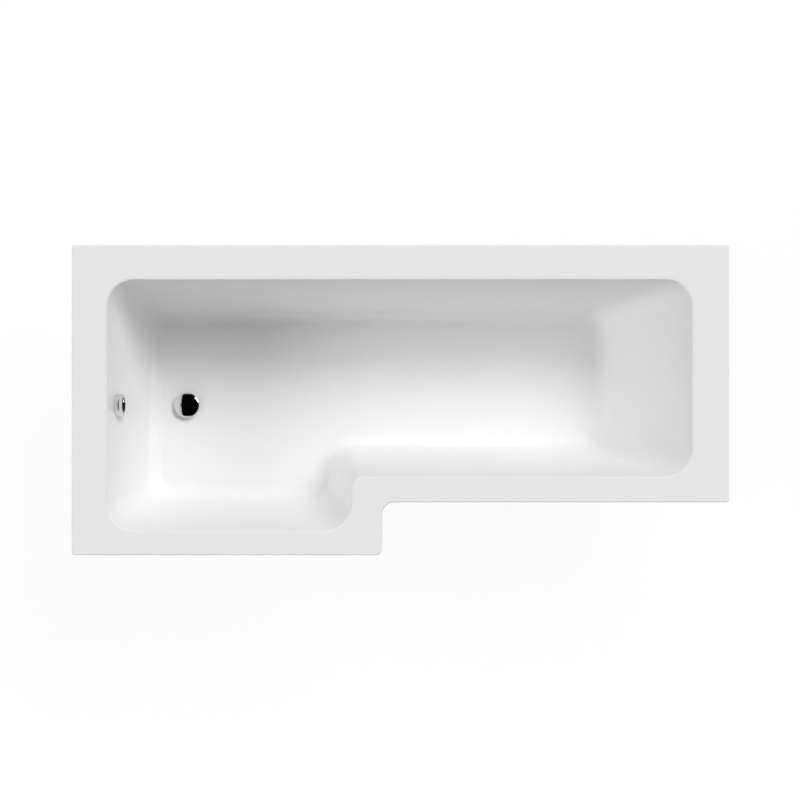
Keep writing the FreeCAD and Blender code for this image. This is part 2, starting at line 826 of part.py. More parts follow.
def make_foot(place, x, y, web_top, stud_top):
    """A threaded stud in its plastic pad. Gives back the two nuts that clamp the stud to its web."""
    thread_radius = "stud_diameter / 2 + stud_running_gap"
    stud = rod("stud_" + place, "stud_diameter / 2", "pad_floor_thickness", stud_top, x, y)
    keep("foot_stud_" + place, stud)
    flange = rod(f"pad_{place}_flange", "pad_diameter / 2", "0", "pad_flange_thickness", x, y)
    wide, narrow = "pad_neck_diameter / 2 + pad_flange_thickness", "pad_neck_diameter / 2"
    neck = cone(f"pad_{place}_neck", wide, narrow, "pad_flange_thickness", "pad_height", x, y)
    socket = rod(f"pad_{place}_socket", thread_radius, "pad_floor_thickness", f"pad_height + {PAST}", x, y)
    moulding = joined(f"pad_{place}_moulding", flange, neck)
    keep("foot_pad_" + place, less("pad_" + place, moulding, socket))
    nuts = []
    for side, bottom in (("upper", web_top), ("lower", f"{web_top} - bar_gauge - nut_thickness")):
        name = f"nut_{place}_{side}"
        top = f"{bottom} + nut_thickness"
        blank = doc.addObject("Part::Prism", name + "_blank")
        blank.Polygon = 6
        bind(blank, Circumradius="nut_across_flats / sqrt(3)", Height="nut_thickness")
        move(blank, x, y, bottom)
        thread = rod(name + "_thread", thread_radius, f"{bottom} - {PAST}", f"{top} + {PAST}", x, y)
        nuts.append(less(name, blank, thread))
    return nuts


def make_feet():
    """Two feet on each bar and one under the middle of the board, with all their nuts."""
    bar_stud_top = "board_under + stud_above_bar"
    hat_web_top = "(board_under - hat_height + bar_gauge)"
    hat_stud_top = f"{hat_web_top} + nut_thickness + bar_gauge"
    nuts = []
    nuts += make_foot("shower_front", "shower_bar_x", "shower_foot_y", "board_under", bar_stud_top)
    nuts += make_foot("shower_back", "shower_bar_x", "back_foot_y", "board_under", bar_stud_top)
    nuts += make_foot("rest_front", "rest_bar_x", "rest_foot_y", "board_under", bar_stud_top)
    nuts += make_foot("rest_back", "rest_bar_x", "back_foot_y", "board_under", bar_stud_top)
    nuts += make_foot("centre", "middle_foot_x", "board_middle_y", hat_web_top, hat_stud_top)
    keep("leg_nuts", group("leg_nut_set", *nuts))


def wood_screws(label, spots, seat, gauge):
    """Pan-head screws driven upwards, with their heads under a plate whose underside is the seat."""
    screws = []
    for i, (x, y) in enumerate(spots):
        name = f"{label}_{i}"
        low = f"{seat} - screw_head_thickness"
        head = cone(name + "_head", "screw_hole_radius", "screw_head_diameter / 2", low, seat, x, y)
        tip = f"{seat} + {gauge} + screw_bite"
        screws.append(joined(name, head, rod(name + "_shank", "screw_diameter / 2", seat, tip, x, y)))
    keep(label, group(label + "_set", *screws))


# Wall brackets

BACK_BRACKETS = ("(left_end + bracket_from_end)", "(right_end - bracket_from_end)")
END_BRACKET_Y = "(back_side - end_bracket_from_back)"
BRACKET_SCREW_INSET = "(sheet_thickness + batten_gap + batten_width / 2)"


def back_bracket_screws(middle_x):
    """Where a bracket on the back edge is screwed up into its batten."""
    y = f"back_side - {BRACKET_SCREW_INSET}"
    return [(f"{middle_x} {sign} bracket_hole_spacing / 2", y) for sign in "-+"]


def end_bracket_screws():
    """Where the bracket on the shower end is screwed up into its batten."""
    x = f"left_end + {BRACKET_SCREW_INSET}"
    return [(x, f"{END_BRACKET_Y} {sign} bracket_hole_spacing / 2") for sign in "-+"]


def make_wall_bracket(label, quarter_turns, x, y):
    """A pressed plate: a leg under the batten, a joggle past the lip and a face against the wall.

    It is drawn with the wall at its Y 0 and the well towards its -Y, then turned to its side.
    """
    body = doc.addObject("PartDesign::Body", label)
    profile = new_sketch(body, label + "_profile", "YZ_Plane", "-bracket_width / 2")
    inside = "(sheet_thickness + batten_gap)"
    leg_top = "(lip_depth - sheet_thickness - batten_thickness)"
    polygon(
        profile,
        [
            (f"-{inside} - bracket_leg", leg_top),
            (f"-{inside}", leg_top),
            (f"-{inside}", "-bracket_lip_gap"),
            ("0", "-bracket_lip_gap"),
            ("0", "-bracket_drop"),
            ("-bracket_gauge", "-bracket_drop"),
            ("-bracket_gauge", "-bracket_lip_gap - bracket_gauge"),
            (f"-{inside} - bracket_gauge", "-bracket_lip_gap - bracket_gauge"),
            (f"-{inside} - bracket_gauge", f"{leg_top} - bracket_gauge"),
            (f"-{inside} - bracket_leg", f"{leg_top} - bracket_gauge"),
        ],
    )
    plate = body.newObject("PartDesign::Pad", label + "_plate")
    plate.Profile = profile
    bind(plate, Length="bracket_width")
    doc.recompute()
    sideways = [f"{sign}bracket_hole_spacing / 2" for sign in ("-", "")]
    wall_holes = new_sketch(body, label + "_wall_holes", "XZ_Plane", "2 * bracket_gauge")
    circles(wall_holes, [(u, "-bracket_hole_drop", "bracket_hole_diameter / 2") for u in sideways])
    drill(body, label + "_wall_drilling", wall_holes)
    leg_holes = new_sketch(body, label + "_leg_holes", "XY_Plane", leg_top)
    circles(leg_holes, [(u, f"-{BRACKET_SCREW_INSET}", "screw_hole_radius") for u in sideways])
    drill(body, label + "_leg_drilling", leg_holes)
    body.Placement.Rotation = FreeCAD.Rotation(Vector(0, 0, 1), 90 * quarter_turns)
    move(body, x, y, "lip_bottom")
    keep(label, body)


def make_wall_brackets():
    """Two brackets on the long wall and one on the shower end's wall."""
    for side, x in zip(("left", "right"), BACK_BRACKETS):
        make_wall_bracket("wall_bracket_back_" + side, 0, x, "back_side")
    make_wall_bracket("wall_bracket_end", 1, "left_end", END_BRACKET_Y)


# Waste and click plug

AT_WASTE = ("waste_x", "waste_y")


def make_waste_flange():
    """The bright flange in the floor, its threaded barrel, and the spider that holds the cartridge."""
    flange = rod("flange_disc", "waste_flange_diameter / 2", "flange_under", "flange_top", *AT_WASTE)
    barrel = rod("flange_barrel", "barrel_diameter / 2", "barrel_bottom", "flange_under", *AT_WASTE)
    below = f"barrel_bottom - {PAST}"
    bore = rod("flange_bore", "barrel_bore_radius", below, f"flange_top + {PAST}", *AT_WASTE)
    tube = less("flange_tube", joined("flange_blank", flange, barrel), bore)
    hub = rod("spider_hub", "spider_ring_diameter / 2", "barrel_bottom", "spider_top", *AT_WASTE)
    reach, half = "(barrel_bore_radius + barrel_wall / 2)", "spider_arm_width / 2"
    levels = ("barrel_bottom", "spider_top")
    arms = [
        box("spider_arm_x", around("waste_x", reach), around("waste_y", half), levels),
        box("spider_arm_y", around("waste_x", half), around("waste_y", reach), levels),
    ]
    seat_radius = "cartridge_diameter / 2 + cartridge_fit_gap"
    seat = rod("spider_seat", seat_radius, below, f"spider_top + {PAST}", *AT_WASTE)
    spider = less("spider", joined("spider_blank", hub, *arms), seat)
    keep("waste_flange", joined("flange_with_spider", tube, spider))


def make_waste_seals():
    """The soft rings that clamp the floor between the flange and the tee."""
    hole = "waste_hole_diameter / 2"
    outer = "waste_flange_diameter / 2 - seal_inset"
    upper = ring("top_seal", outer, hole, "floor_top", "flange_under", *AT_WASTE)
    keep("waste_top_seal", upper)
    inner = f"{hole} + bond_line"
    lower = ring("low_seal", f"{inner} + waste_seal_width", inner, "tee_top", "backing_under", *AT_WASTE)
    keep("waste_bottom_seal", lower)


def make_cartridge():
    """The click cartridge: a guide for the stem above a chamber for its spring."""
    tube = rod("cartridge_tube", "cartridge_diameter / 2", "barrel_bottom", "flange_under", *AT_WASTE)
    collar_radius, collar_top = "cartridge_collar_diameter / 2", "spider_top + cartridge_collar_thickness"
    collar = rod("cartridge_collar", collar_radius, "spider_top", collar_top, *AT_WASTE)
    chamber = rod("cartridge_chamber", "chamber_radius", "chamber_bottom", "guide_bottom", *AT_WASTE)
    guide_radius = "stem_diameter / 2 + stem_running_gap"
    guide_ends = f"guide_bottom - {PAST}", f"flange_under + {PAST}"
    guide = rod("cartridge_guide", guide_radius, *guide_ends, *AT_WASTE)
    keep("click_cartridge", less("cartridge", joined("cartridge_blank", tube, collar), chamber, guide))


def arc_to(start, corner, end):
    """The arc between two points that leaves and arrives along the lines to a corner."""
    middle = (start + end) / 2
    cosine = (end - start).Length / 2 / (corner - start).Length
    crown = middle + (corner - middle) * cosine / (1 + cosine)
    return Part.Arc(start, crown, end).toShape()


def biarc(start, start_way, end, end_way):
    """Two arcs that join two points smoothly, in the given directions."""
    span = end - start
    along = span.dot(start_way + end_way)
    spread = 2 * (1 - start_way.dot(end_way))
    reach = (math.sqrt(along**2 + spread * span.dot(span)) - along) / spread
    first_corner, last_corner = start + start_way * reach, end - end_way * reach
    meeting = (first_corner + last_corner) / 2
    return [arc_to(start, first_corner, meeting), arc_to(meeting, last_corner, end)]


def make_spring():
    """The cartridge's coil spring, between the chamber's floor and the stem's collar."""
    radius, wire, pitch = number("spring_diameter / 2"), number("spring_wire"), number("spring_pitch")
    low = number("chamber_bottom + spring_end_gap + spring_wire / 2")
    high = number("collar_bottom - spring_end_gap - spring_wire / 2")
    middle = Vector(number("waste_x"), number("waste_y"), low)
    quarters = int((high - low) / pitch * 4)
    climb = (high - low) / quarters

    def station(quarter):
        angle = quarter * math.pi / 2
        point = middle + Vector(radius * math.cos(angle), radius * math.sin(angle), climb * quarter)
        way = Vector(-radius * math.sin(angle), radius * math.cos(angle), climb * 2 / math.pi)
        return point, way.normalize()

    arcs = [arc for i in range(quarters) for arc in biarc(*station(i), *station(i + 1))]
    path = Part.Wire(arcs)
    section = Part.Wire(Part.makeCircle(wire / 2, *station(0)))
    coil = doc.addObject("Part::Feature", "spring_coil")
    coil.Shape = path.makePipeShell([section], True, False)
    samples = 4
    points = [station(i / samples)[0] for i in range(samples * quarters + 1)]
    half_turn = 2 * samples
    spans = [(a - b).Length for i, a in enumerate(points) for b in points[i + half_turn:]]
    gap = min(spans) - wire
    print("click_spring: least gap", round(gap, 2), "mm, volume", round(coil.Shape.Volume),
          "from its wire", round(path.Length * math.pi * wire**2 / 4))
    keep("click_spring", coil)


def make_plug():
    """The domed plug on its stem, standing open above the flange, with its seal underneath."""
    disc = rod("plug_disc", "plug_diameter / 2", "cap_under", "cap_top", *AT_WASTE)
    ball = doc.addObject("Part::Sphere", "plug_ball")
    bind(ball, Radius="plug_dome_radius")
    move(ball, *AT_WASTE, "cap_top - plug_dome_radius")
    dome = doc.addObject("Part::Common", "plug_dome")
    dome.Base = disc
    dome.Tool = ball
    socket_top = "cap_under + plug_edge_thickness"
    socket_radius = "stem_diameter / 2 + stem_running_gap"
    socket = rod("plug_socket", socket_radius, f"cap_under - {PAST}", socket_top, *AT_WASTE)
    keep("plug_cap", less("plug_turning", dome, socket))
    stem = rod("stem_rod", "stem_diameter / 2", "collar_bottom", socket_top, *AT_WASTE)
    collar = rod("stem_collar", "stem_collar_diameter / 2", "collar_bottom", "collar_top", *AT_WASTE)
    keep("plug_stem", joined("stem", stem, collar))
    outer, under = "waste_flange_diameter / 2 - seal_inset", "cap_under - plug_seal_thickness"
    keep("plug_seal", ring("plug_washer", outer, "barrel_bore_radius", under, "cap_under", *AT_WASTE))


def make_tee():
    """The moulded body under the waste: flange, chamber, side inlet from the overflow, trap outlet."""
    flange_under, outlet_end = "tee_top - tee_flange_thickness", "tee_bottom - outlet_length"
    neck_bottom, hollow_bottom = "barrel_bottom - bond_line", "tee_bottom + tee_wall"
    blank = joined(
        "tee_blank",
        rod("tee_flange", "tee_flange_diameter / 2", flange_under, "tee_top", *AT_WASTE),
        rod("tee_chamber", "tee_body_diameter / 2", "tee_bottom", "tee_top", *AT_WASTE),
        rod("tee_outlet", "outlet_diameter / 2", outlet_end, "tee_bottom", *AT_WASTE),
        lying_rod("tee_inlet", "hose_diameter / 2", "inlet_end_x", "waste_x", "waste_y", "inlet_z"),
    )
    thread_radius = "barrel_diameter / 2 + barrel_thread_gap"
    hollow_radius = "tee_body_diameter / 2 - tee_wall"
    tee = less(
        "tee",
        blank,
        rod("tee_thread", thread_radius, neck_bottom, f"tee_top + {PAST}", *AT_WASTE),
        rod("tee_hollow", hollow_radius, hollow_bottom, neck_bottom, *AT_WASTE),
        rod("tee_drain", "outlet_bore / 2", f"{outlet_end} - {PAST}", f"{hollow_bottom} + {PAST}", *AT_WASTE),
        lying_rod("tee_side_bore", "hose_bore / 2", f"inlet_end_x - {PAST}", "waste_x", "waste_y", "inlet_z"),
    )
    keep("waste_tee", tee)


# Overflow


def make_overflow_cap():
    """The bright cap over the overflow, with its water slots at the lower side."""
    body = doc.addObject("PartDesign::Body", "cap_turning")
    face = new_sketch(body, "cap_face", "XY_Plane", "overflow_cap_wall_gap")
    circles(face, [("0", "0", "overflow_cap_diameter / 2")])
    blank = body.newObject("PartDesign::Pad", "cap_blank")
    blank.Profile = face
    bind(blank, Length="overflow_cap_depth - overflow_cap_wall_gap")
    doc.recompute()
    round_edges(body, "cap_edge", "overflow_cap_edge_radius", level_edge("overflow_cap_depth"))
    hollow = new_sketch(body, "cap_hollow_profile", "XY_Plane", "overflow_cap_depth - overflow_cap_wall")
    circles(hollow, [("0", "0", "cap_bore_radius")])
    drill(body, "cap_hollow", hollow)
    slots = new_sketch(body, "cap_slot_profile", "YZ_Plane", "overflow_cap_diameter / 2")
    low, high = "cap_slot_rise", "cap_slot_rise + cap_slot_height"
    for middle in ("-cap_slot_spacing", "0", "cap_slot_spacing"):
        left, right = around(middle, "cap_slot_width / 2")
        polygon(slots, [(left, low), (right, low), (right, high), (left, high)])
    drill(body, "cap_slots", slots, "overflow_cap_diameter / 2")
    keep("overflow_cap", on_overflow_axis(body))


def make_overflow_grid():
    """The plate on the well's wall that the cap clips over, and the screw that pulls the elbow to it."""
    body = doc.addObject("PartDesign::Body", "grid_plate")
    face = new_sketch(body, "grid_face", "XY_Plane")
    circles(face, [("0", "0", "cap_bore_radius - grid_fit_gap")])
    plate = body.newObject("PartDesign::Pad", "grid_blank")
    plate.Profile = face
    bind(plate, Length="grid_thickness")
    doc.recompute()
    holes = new_sketch(body, "grid_hole_profile", "XY_Plane", "grid_thickness")
    rounds = [("0", "0", "overflow_screw_diameter / 2 + screw_hole_gap")]
    for i in range(GRID_HOLES):
        turn = f"{360 / GRID_HOLES * i} deg"
        spot = [f"grid_hole_circle / 2 * {wave}({turn})" for wave in ("cos", "sin")]
        rounds.append((*spot, "grid_hole_diameter / 2"))
    circles(holes, rounds)
    drill(body, "grid_holes", holes)
    keep("overflow_grid", on_overflow_axis(body))
    head_top = "grid_thickness + overflow_screw_head_thickness"
    head = rod("overflow_screw_head", "overflow_screw_head_diameter / 2", "grid_thickness", head_top)
    tip = "grid_thickness - overflow_screw_length"
    shank = rod("overflow_screw_shank", "overflow_screw_diameter / 2", tip, "grid_thickness")
    keep("overflow_screw", on_overflow_axis(joined("overflow_screw_turning", head, shank)))


def make_overflow_elbow():
    """The moulded cup behind the wall, with its seal, its screw boss and a spigot for the hose."""
    hole = "overflow_hole_diameter / 2 + bond_line"
    seal = ring("wall_seal", "elbow_flange_diameter / 2 - seal_inset", hole, "-elbow_start", "-laminate")
    keep("overflow_seal", on_overflow_axis(seal))
    flange_back, cup_floor = "-elbow_start - elbow_flange_thickness", "elbow_wall - elbow_end"
    flange = overflow_rod("elbow_flange", "elbow_flange_diameter / 2", flange_back, "-elbow_start")
    cup = overflow_rod("elbow_cup", "elbow_cup_diameter / 2", "-elbow_end", "-elbow_start")
    hollow = overflow_rod("elbow_hollow", "elbow_cup_diameter / 2 - elbow_wall", cup_floor, "0")
    boss_end = "overflow_screw_bite - elbow_end"
    boss = overflow_rod("elbow_boss", "elbow_boss_diameter / 2", "-elbow_end", boss_end)
    screw_radius = "overflow_screw_diameter / 2 + stud_running_gap"
    screw_hole = overflow_rod("elbow_screw_hole", screw_radius, cup_floor, "0")
    at_spigot = ("spigot_x", "waste_y")
    spigot = rod("elbow_spigot", "hose_diameter / 2", "spigot_bottom", "spigot_top", *at_spigot)
    bore = rod("elbow_spigot_bore", "hose_bore / 2", f"spigot_bottom - {PAST}", "spigot_top", *at_spigot)
    body = less("elbow_body", joined("elbow_blank", flange, cup, spigot), hollow, bore)
    keep("overflow_elbow", less("elbow", joined("elbow_with_boss", body, boss), screw_hole))


# Hose


def make_hose_ends():
    """At each end of the hose a seal, face to face with its seat, and a nut round the joint."""
    nut, bore = "hose_nut_diameter / 2", "hose_diameter / 2 + hose_nut_gap"
    outer, inner = "hose_diameter / 2", "hose_bore / 2"
    at_spigot = ("spigot_x", "waste_y")
    low, high = around("spigot_bottom - hose_seal_thickness / 2", "hose_nut_length / 2")
    keep("hose_nut_upper", ring("upper_nut", nut, bore, low, high, *at_spigot))
    seal = ring("upper_seal", outer, inner, "hose_top", "spigot_bottom", *at_spigot)
    keep("hose_seal_upper", seal)
    left, right = around("inlet_end_x - hose_seal_thickness / 2", "hose_nut_length / 2")
    keep("hose_nut_lower", lying_ring("lower_nut", nut, bore, left, right, "waste_y", "inlet_z"))
    seal = lying_ring("lower_seal", outer, inner, "hose_end_x", "inlet_end_x", "waste_y", "inlet_z")
    keep("hose_seal_lower", seal)


def hose_station(distance):
    """Where the hose's middle line is, and which way it runs, at a distance from its upper end.

    It drops straight from the elbow, turns a quarter circle and runs level to the tee.
    """
    x, y, top = number("spigot_x"), number("waste_y"), number("hose_top")
    radius, low = number("hose_bend_radius"), number("inlet_z")
    drop = top - low - radius
    turn = radius * math.pi / 2
    if distance <= drop:
        return Vector(x, y, top - distance), Vector(0, 0, -1)
    if distance <= drop + turn:
        angle = (distance - drop) / radius
        middle = Vector(x + radius, y, low + radius)
        spoke = Vector(-math.cos(angle), 0, -math.sin(angle))
        return middle + spoke * radius, Vector(math.sin(angle), 0, -math.cos(angle))
    return Vector(x + radius + distance - drop - turn, y, low), Vector(1, 0, 0)


def hose_ring(distance, radius):
    """A circle round the hose's middle line, with its X axis always along the bath's width."""
    point, ahead = hose_station(distance)
    across = Vector(0, 1, 0)
    turn = FreeCAD.Rotation(across, ahead.cross(across), ahead, "ZXY")
    circle = Part.Wire(Part.makeCircle(radius))
    circle.Placement = FreeCAD.Placement(point, turn)
    return circle


def make_hose():
    """The ribbed hose from the overflow to the tee: plain cuffs at its ends and ribs between."""
    crest, root, bore = (number(f"hose_{size} / 2") for size in ("diameter", "root_diameter", "bore"))
    radius, cuff = number("hose_bend_radius"), number("hose_cuff_length")
    drop = number("hose_top - inlet_z - hose_bend_radius")
    level = number("hose_end_x - spigot_x - hose_bend_radius")
    length = drop + radius * math.pi / 2 + level
    count = round((length - 2 * cuff) / number("hose_rib_pitch"))
    pitch = (length - 2 * cuff) / count
    rings = [hose_ring(0, crest)]
    for i in range(count):
        start = cuff + pitch * i
        for share, size in ((0, crest), (0.2, root), (0.5, root), (0.7, crest)):
            rings.append(hose_ring(start + pitch * share, size))
    rings += [hose_ring(length - cuff, crest), hose_ring(length, crest)]
    bend = (length - drop - level) / 2
    stations = (0, drop, drop + bend, length - level, length)
    start, bend_start, bend_middle, bend_end, end = (hose_station(station)[0] for station in stations)
    path = Part.Wire(
        [
            Part.LineSegment(start, bend_start).toShape(),
            Part.Arc(bend_start, bend_middle, bend_end).toShape(),
            Part.LineSegment(bend_end, end).toShape(),
        ]
    )
    hose = doc.addObject("Part::Feature", "hose")
    hollow = path.makePipeShell([hose_ring(0, bore)], True, False)
    hose.Shape = Part.makeLoft(rings, True, True).cut(hollow)
    print("overflow_hose:", count, "ribs over", round(length), "mm, volume", round(hose.Shape.Volume))
    keep("overflow_hose", hose)


def build():
    fill_sheet()
    make_bath_shell()
    make_backing()
    make_base_board()
    make_battens()
    make_leg_bar("leg_bar_shower_end", "shower_bar_x", "shower_foot_y")
    make_leg_bar("leg_bar_rest_end", "rest_bar_x", "rest_foot_y")
    make_hat_bracket()
    make_feet()
    wood_screws("leg_bar_screws", all_board_screws(), "board_under - bar_gauge", "bar_gauge")
    make_wall_brackets()
    bracket_spots = [spot for x in BACK_BRACKETS for spot in back_bracket_screws(x)] + end_bracket_screws()
    wood_screws("wall_bracket_screws", bracket_spots, "batten_under - bracket_gauge", "bracket_gauge")
    make_waste_flange()
    make_waste_seals()
    make_cartridge()
    make_spring()
    make_plug()
    make_tee()
    make_overflow_cap()
    make_overflow_grid()
    make_overflow_elbow()
    make_hose_ends()
    make_hose()
    doc.recompute()


def export():
    """Checks every object and writes each sub-part to a file of its own."""
    failed = [thing.Name for thing in doc.Objects if {"Invalid", "Error"} & set(thing.State)]
    failed += [piece.Label for piece in pieces if piece.Shape.isNull() or not piece.Shape.isValid()]
    if failed:
        raise RuntimeError("failed: " + ", ".join(failed))
    os.makedirs("parts", exist_ok=True)
    for piece in pieces:
        piece.Shape.exportStep(os.path.join("parts", piece.Label + ".step"))
    print(len(pieces), "sub-parts written")


build()
export()
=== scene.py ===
"""Looks of an L-shaped shower bath on its leg set, with its click waste and overflow.

Metres. +X runs along the bath to the sloping backrest, +Y to the wall behind it, +Z up.
"""

import math

import bpy
from bpy.props import FloatProperty, FloatVectorProperty, IntProperty, PointerProperty
from mathutils import Matrix, Vector


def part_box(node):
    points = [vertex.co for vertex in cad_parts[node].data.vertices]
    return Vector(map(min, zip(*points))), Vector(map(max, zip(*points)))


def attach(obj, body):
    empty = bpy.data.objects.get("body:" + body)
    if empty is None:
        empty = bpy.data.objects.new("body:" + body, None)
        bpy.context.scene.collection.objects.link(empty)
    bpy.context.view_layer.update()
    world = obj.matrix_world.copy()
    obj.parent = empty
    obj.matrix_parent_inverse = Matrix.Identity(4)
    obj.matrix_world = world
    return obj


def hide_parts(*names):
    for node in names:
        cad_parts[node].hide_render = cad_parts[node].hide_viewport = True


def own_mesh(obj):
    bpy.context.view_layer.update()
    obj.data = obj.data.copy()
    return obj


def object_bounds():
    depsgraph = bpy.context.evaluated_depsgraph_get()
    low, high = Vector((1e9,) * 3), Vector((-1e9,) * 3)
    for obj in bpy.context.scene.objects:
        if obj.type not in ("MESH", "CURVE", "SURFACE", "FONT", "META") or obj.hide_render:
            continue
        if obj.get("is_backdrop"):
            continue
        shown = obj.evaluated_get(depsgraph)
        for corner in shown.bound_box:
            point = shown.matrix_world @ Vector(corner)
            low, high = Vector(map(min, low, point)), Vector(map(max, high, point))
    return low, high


bl_info = {
    "name": "Shower bath",
    "version": (1, 0, 0),
    "blender": (4, 5, 0),
    "location": "View3D > Sidebar > Bath",
    "description": "Models and dresses an L-shaped shower bath, its leg set and its waste",
    "category": "Mesh",
}

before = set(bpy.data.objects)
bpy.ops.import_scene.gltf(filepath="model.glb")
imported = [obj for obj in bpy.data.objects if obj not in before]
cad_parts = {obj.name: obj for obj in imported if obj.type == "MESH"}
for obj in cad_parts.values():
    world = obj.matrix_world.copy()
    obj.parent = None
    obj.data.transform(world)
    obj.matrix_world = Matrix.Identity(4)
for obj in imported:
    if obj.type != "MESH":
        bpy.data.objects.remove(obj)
CAD_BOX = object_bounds()
SHELL_LOW, SHELL_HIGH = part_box("bath_shell")
FEET = ("shower_front", "shower_back", "rest_front", "rest_back", "centre")
BATTENS = ("back", "left", "right", "rest_front", "step", "shower_front")

# Two points nearer than this are one, and what is made as a speck starts this small
NEAR = 1e-5
# How far a cutter runs past the face that it opens
PAST = 0.002
# Play between pieces that drop together, and between those that are pushed together
PLAY = 0.0003
SNUG = 0.00005
# Segments of a round: a corner of the bath's outline, an edge of a turned or folded piece, half a dome
CORNER_STEPS = 16
EDGE_STEPS = 4
DOME_STEPS = 24


def length(name, description, default):
    """A size that a user may change, in metres."""
    return FloatProperty(name=name, description=description, default=default, min=0, unit="LENGTH")


def colour(name, description, default):
    """A finish's colour, as linear red, green and blue."""
    return FloatVectorProperty(
        name=name, description=description, default=default, size=3, min=0, max=1, subtype="COLOR"
    )


def share(name, description, default):
    """A number without a unit."""
    return FloatProperty(name=name, description=description, default=default, min=0)


# Sizes and colours


class ShellSizes(bpy.types.PropertyGroup):
    """The formed sheet and the laminate on it."""

    length: length("Length", "Outline along the wall", SHELL_HIGH.x - SHELL_LOW.x)
    width: length("Shower end width", "Outline across the wide end", SHELL_HIGH.y - SHELL_LOW.y)
    rest_width: length("Rest end width", "Outline across the narrow end", 0.705)
    shower_length: length("Shower end length", "How far the wide end reaches along the wall", 0.85)
    rim_height: length("Rim height", "Top of the deck above the floor", SHELL_HIGH.z)
    lip_depth: length("Lip depth", "How far the rim turns down", 0.04)
    sheet: length("Sheet", "Thickness of the formed sheet", 0.005)
    rim_left: length("Left deck", "Deck at the shower end", 0.0955)
    rim_back: length("Back deck", "Deck along the wall", 0.0955)
    rim_right: length("Right deck", "Deck behind the backrest", 0.1)
    rim_rest_front: length("Rest front deck", "Deck in front of the narrow part", 0.07)
    rim_shower_front: length("Shower front deck", "Deck in front of the wide part", 0.066)
    rim_step: length("Step deck", "Deck beside the step", 0.084)
    outer_corner: length("Outer corner", "Round of the outline's plain corners", 0.007)
    step_corner: length("Step corner", "Round of the outline's step", 0.018)
    nook: length("Nook", "Round of the outline's inner corner", 0.035)
    rim_edge: length("Rim edge", "Round between deck and lip", 0.0052)
    well_edge: length("Well edge", "Round between deck and well", 0.006)
    lip_edge: length("Lip edge", "Round at the lip's lower edge", 0.0008)
    depth: length("Depth", "Floor of the well below the deck", 0.4)
    lean_left: length("Left lean", "How far the end wall leans in to the floor", 0.08)
    lean_right: length("Backrest lean", "How far the backrest leans in to the floor", 0.205)
    lean_back: length("Back lean", "How far the wall side leans in to the floor", 0.079)
    lean_front: length("Front lean", "How far the front leans in to the floor", 0.079)
    lean_step: length("Step lean", "How far the step leans in to the floor", 0.08)
    well_corner: length("Well corner", "Round of the well's corners at the deck", 0.077)
    well_nook: length("Well nook", "Round of the well's inner corner at the deck", 0.037)
    floor_corner: length("Floor corner", "Round of the well's corners at the floor", 0.06)
    floor_nook: length("Floor nook", "Round of the well's inner corner at the floor", 0.075)
    floor_bend: length("Floor bend", "Round between floor and walls", 0.045)
    waste_hole: length("Waste hole", "Diameter of the hole in the floor", 0.052)
    overflow_hole: length("Overflow hole", "Diameter of the hole in the end wall", 0.048)
    overflow_drop: length("Overflow drop", "Overflow's middle below the deck", 0.091)
    backing_outside: length("Laminate outside", "Laminate's outer face from the well's surface", 0.0083)
    backing_thickness: length("Laminate", "Thickness of the laminate", 0.0022)
    backing_unevenness: length("Unevenness", "How far the laminate's surface wanders", 0.0008)
    backing_waves: length("Laminate waves", "Size of the waves in the laminate", 0.05)
    backing_grid: length("Laminate grid", "Spacing of the laminate's surface points", 0.03)


class LegSizes(bpy.types.PropertyGroup):
    """The leg set, the battens and the wall brackets."""

    wood_edge: length("Wood edge", "Softened edge of sawn wood", 0.0012)
    bar_gauge: length("Bar gauge", "Steel of the bars", 0.0025)
    bar_bend: length("Bar bend", "Middle radius of the bars' bends", 0.0025)
    hat_web: length("Bracket web", "Width of the middle foot bracket's web", 0.05)
    bracket_gauge: length("Bracket gauge", "Steel of the wall brackets", 0.0025)
    bracket_inset: length("Bracket inset", "Bracket's upright behind the lip's face", 0.0055)
    bracket_lip_gap: length("Lip gap", "Bracket's joggle below the lip", 0.0015)
    bracket_bend: length("Bracket bend", "Middle radius of the brackets' bends", 0.0024)
    bracket_holes: length("Bracket holes", "Spacing of a bracket's holes", 0.03)
    bracket_hole_drop: length("Hole drop", "Wall holes below the lip", 0.03)
    bracket_hole: length("Wall hole", "Diameter of a wall hole", 0.0055)
    screw_hole: length("Screw hole", "Diameter of a screw's hole", 0.0056)
    stud_hole: length("Stud hole", "Diameter of a stud's hole", 0.0132)
    stud_pitch: length("Stud pitch", "Pitch of the studs' thread", 0.00175)
    stud_thread: length("Stud thread depth", "Depth of the studs' thread", 0.0009)
    stud_chamfer: length("Stud chamfer", "Chamfer at a stud's ends", 0.001)
    nut_flats: length("Nut flats", "Nut's width across its flats", 0.019)
    nut_bore: length("Nut bore", "Diameter of a nut's bore", 0.0121)
    pad_flange: length("Pad flange", "Thickness of a pad's flange", 0.007)
    pad_neck: length("Pad neck", "Diameter of a pad's neck at its top", 0.024)
    pad_socket: length("Pad socket", "Diameter of a pad's socket", 0.0121)
    pad_floor: length("Pad floor", "Pad under its stud", 0.006)
    pad_edge: length("Pad edge", "Round at a pad's edges", 0.0015)
    pad_flute: length("Pad flute", "Radius of the grip hollows round a pad", 0.004)
    screw_head: length("Screw head", "Diameter of a screw's head", 0.01)
    screw_head_height: length("Screw head height", "Height of a screw's head", 0.0026)
    screw_pitch: length("Screw pitch", "Pitch of a wood screw", 0.0022)
    screw_thread: length("Screw thread depth", "Depth of a wood screw's thread", 0.0008)


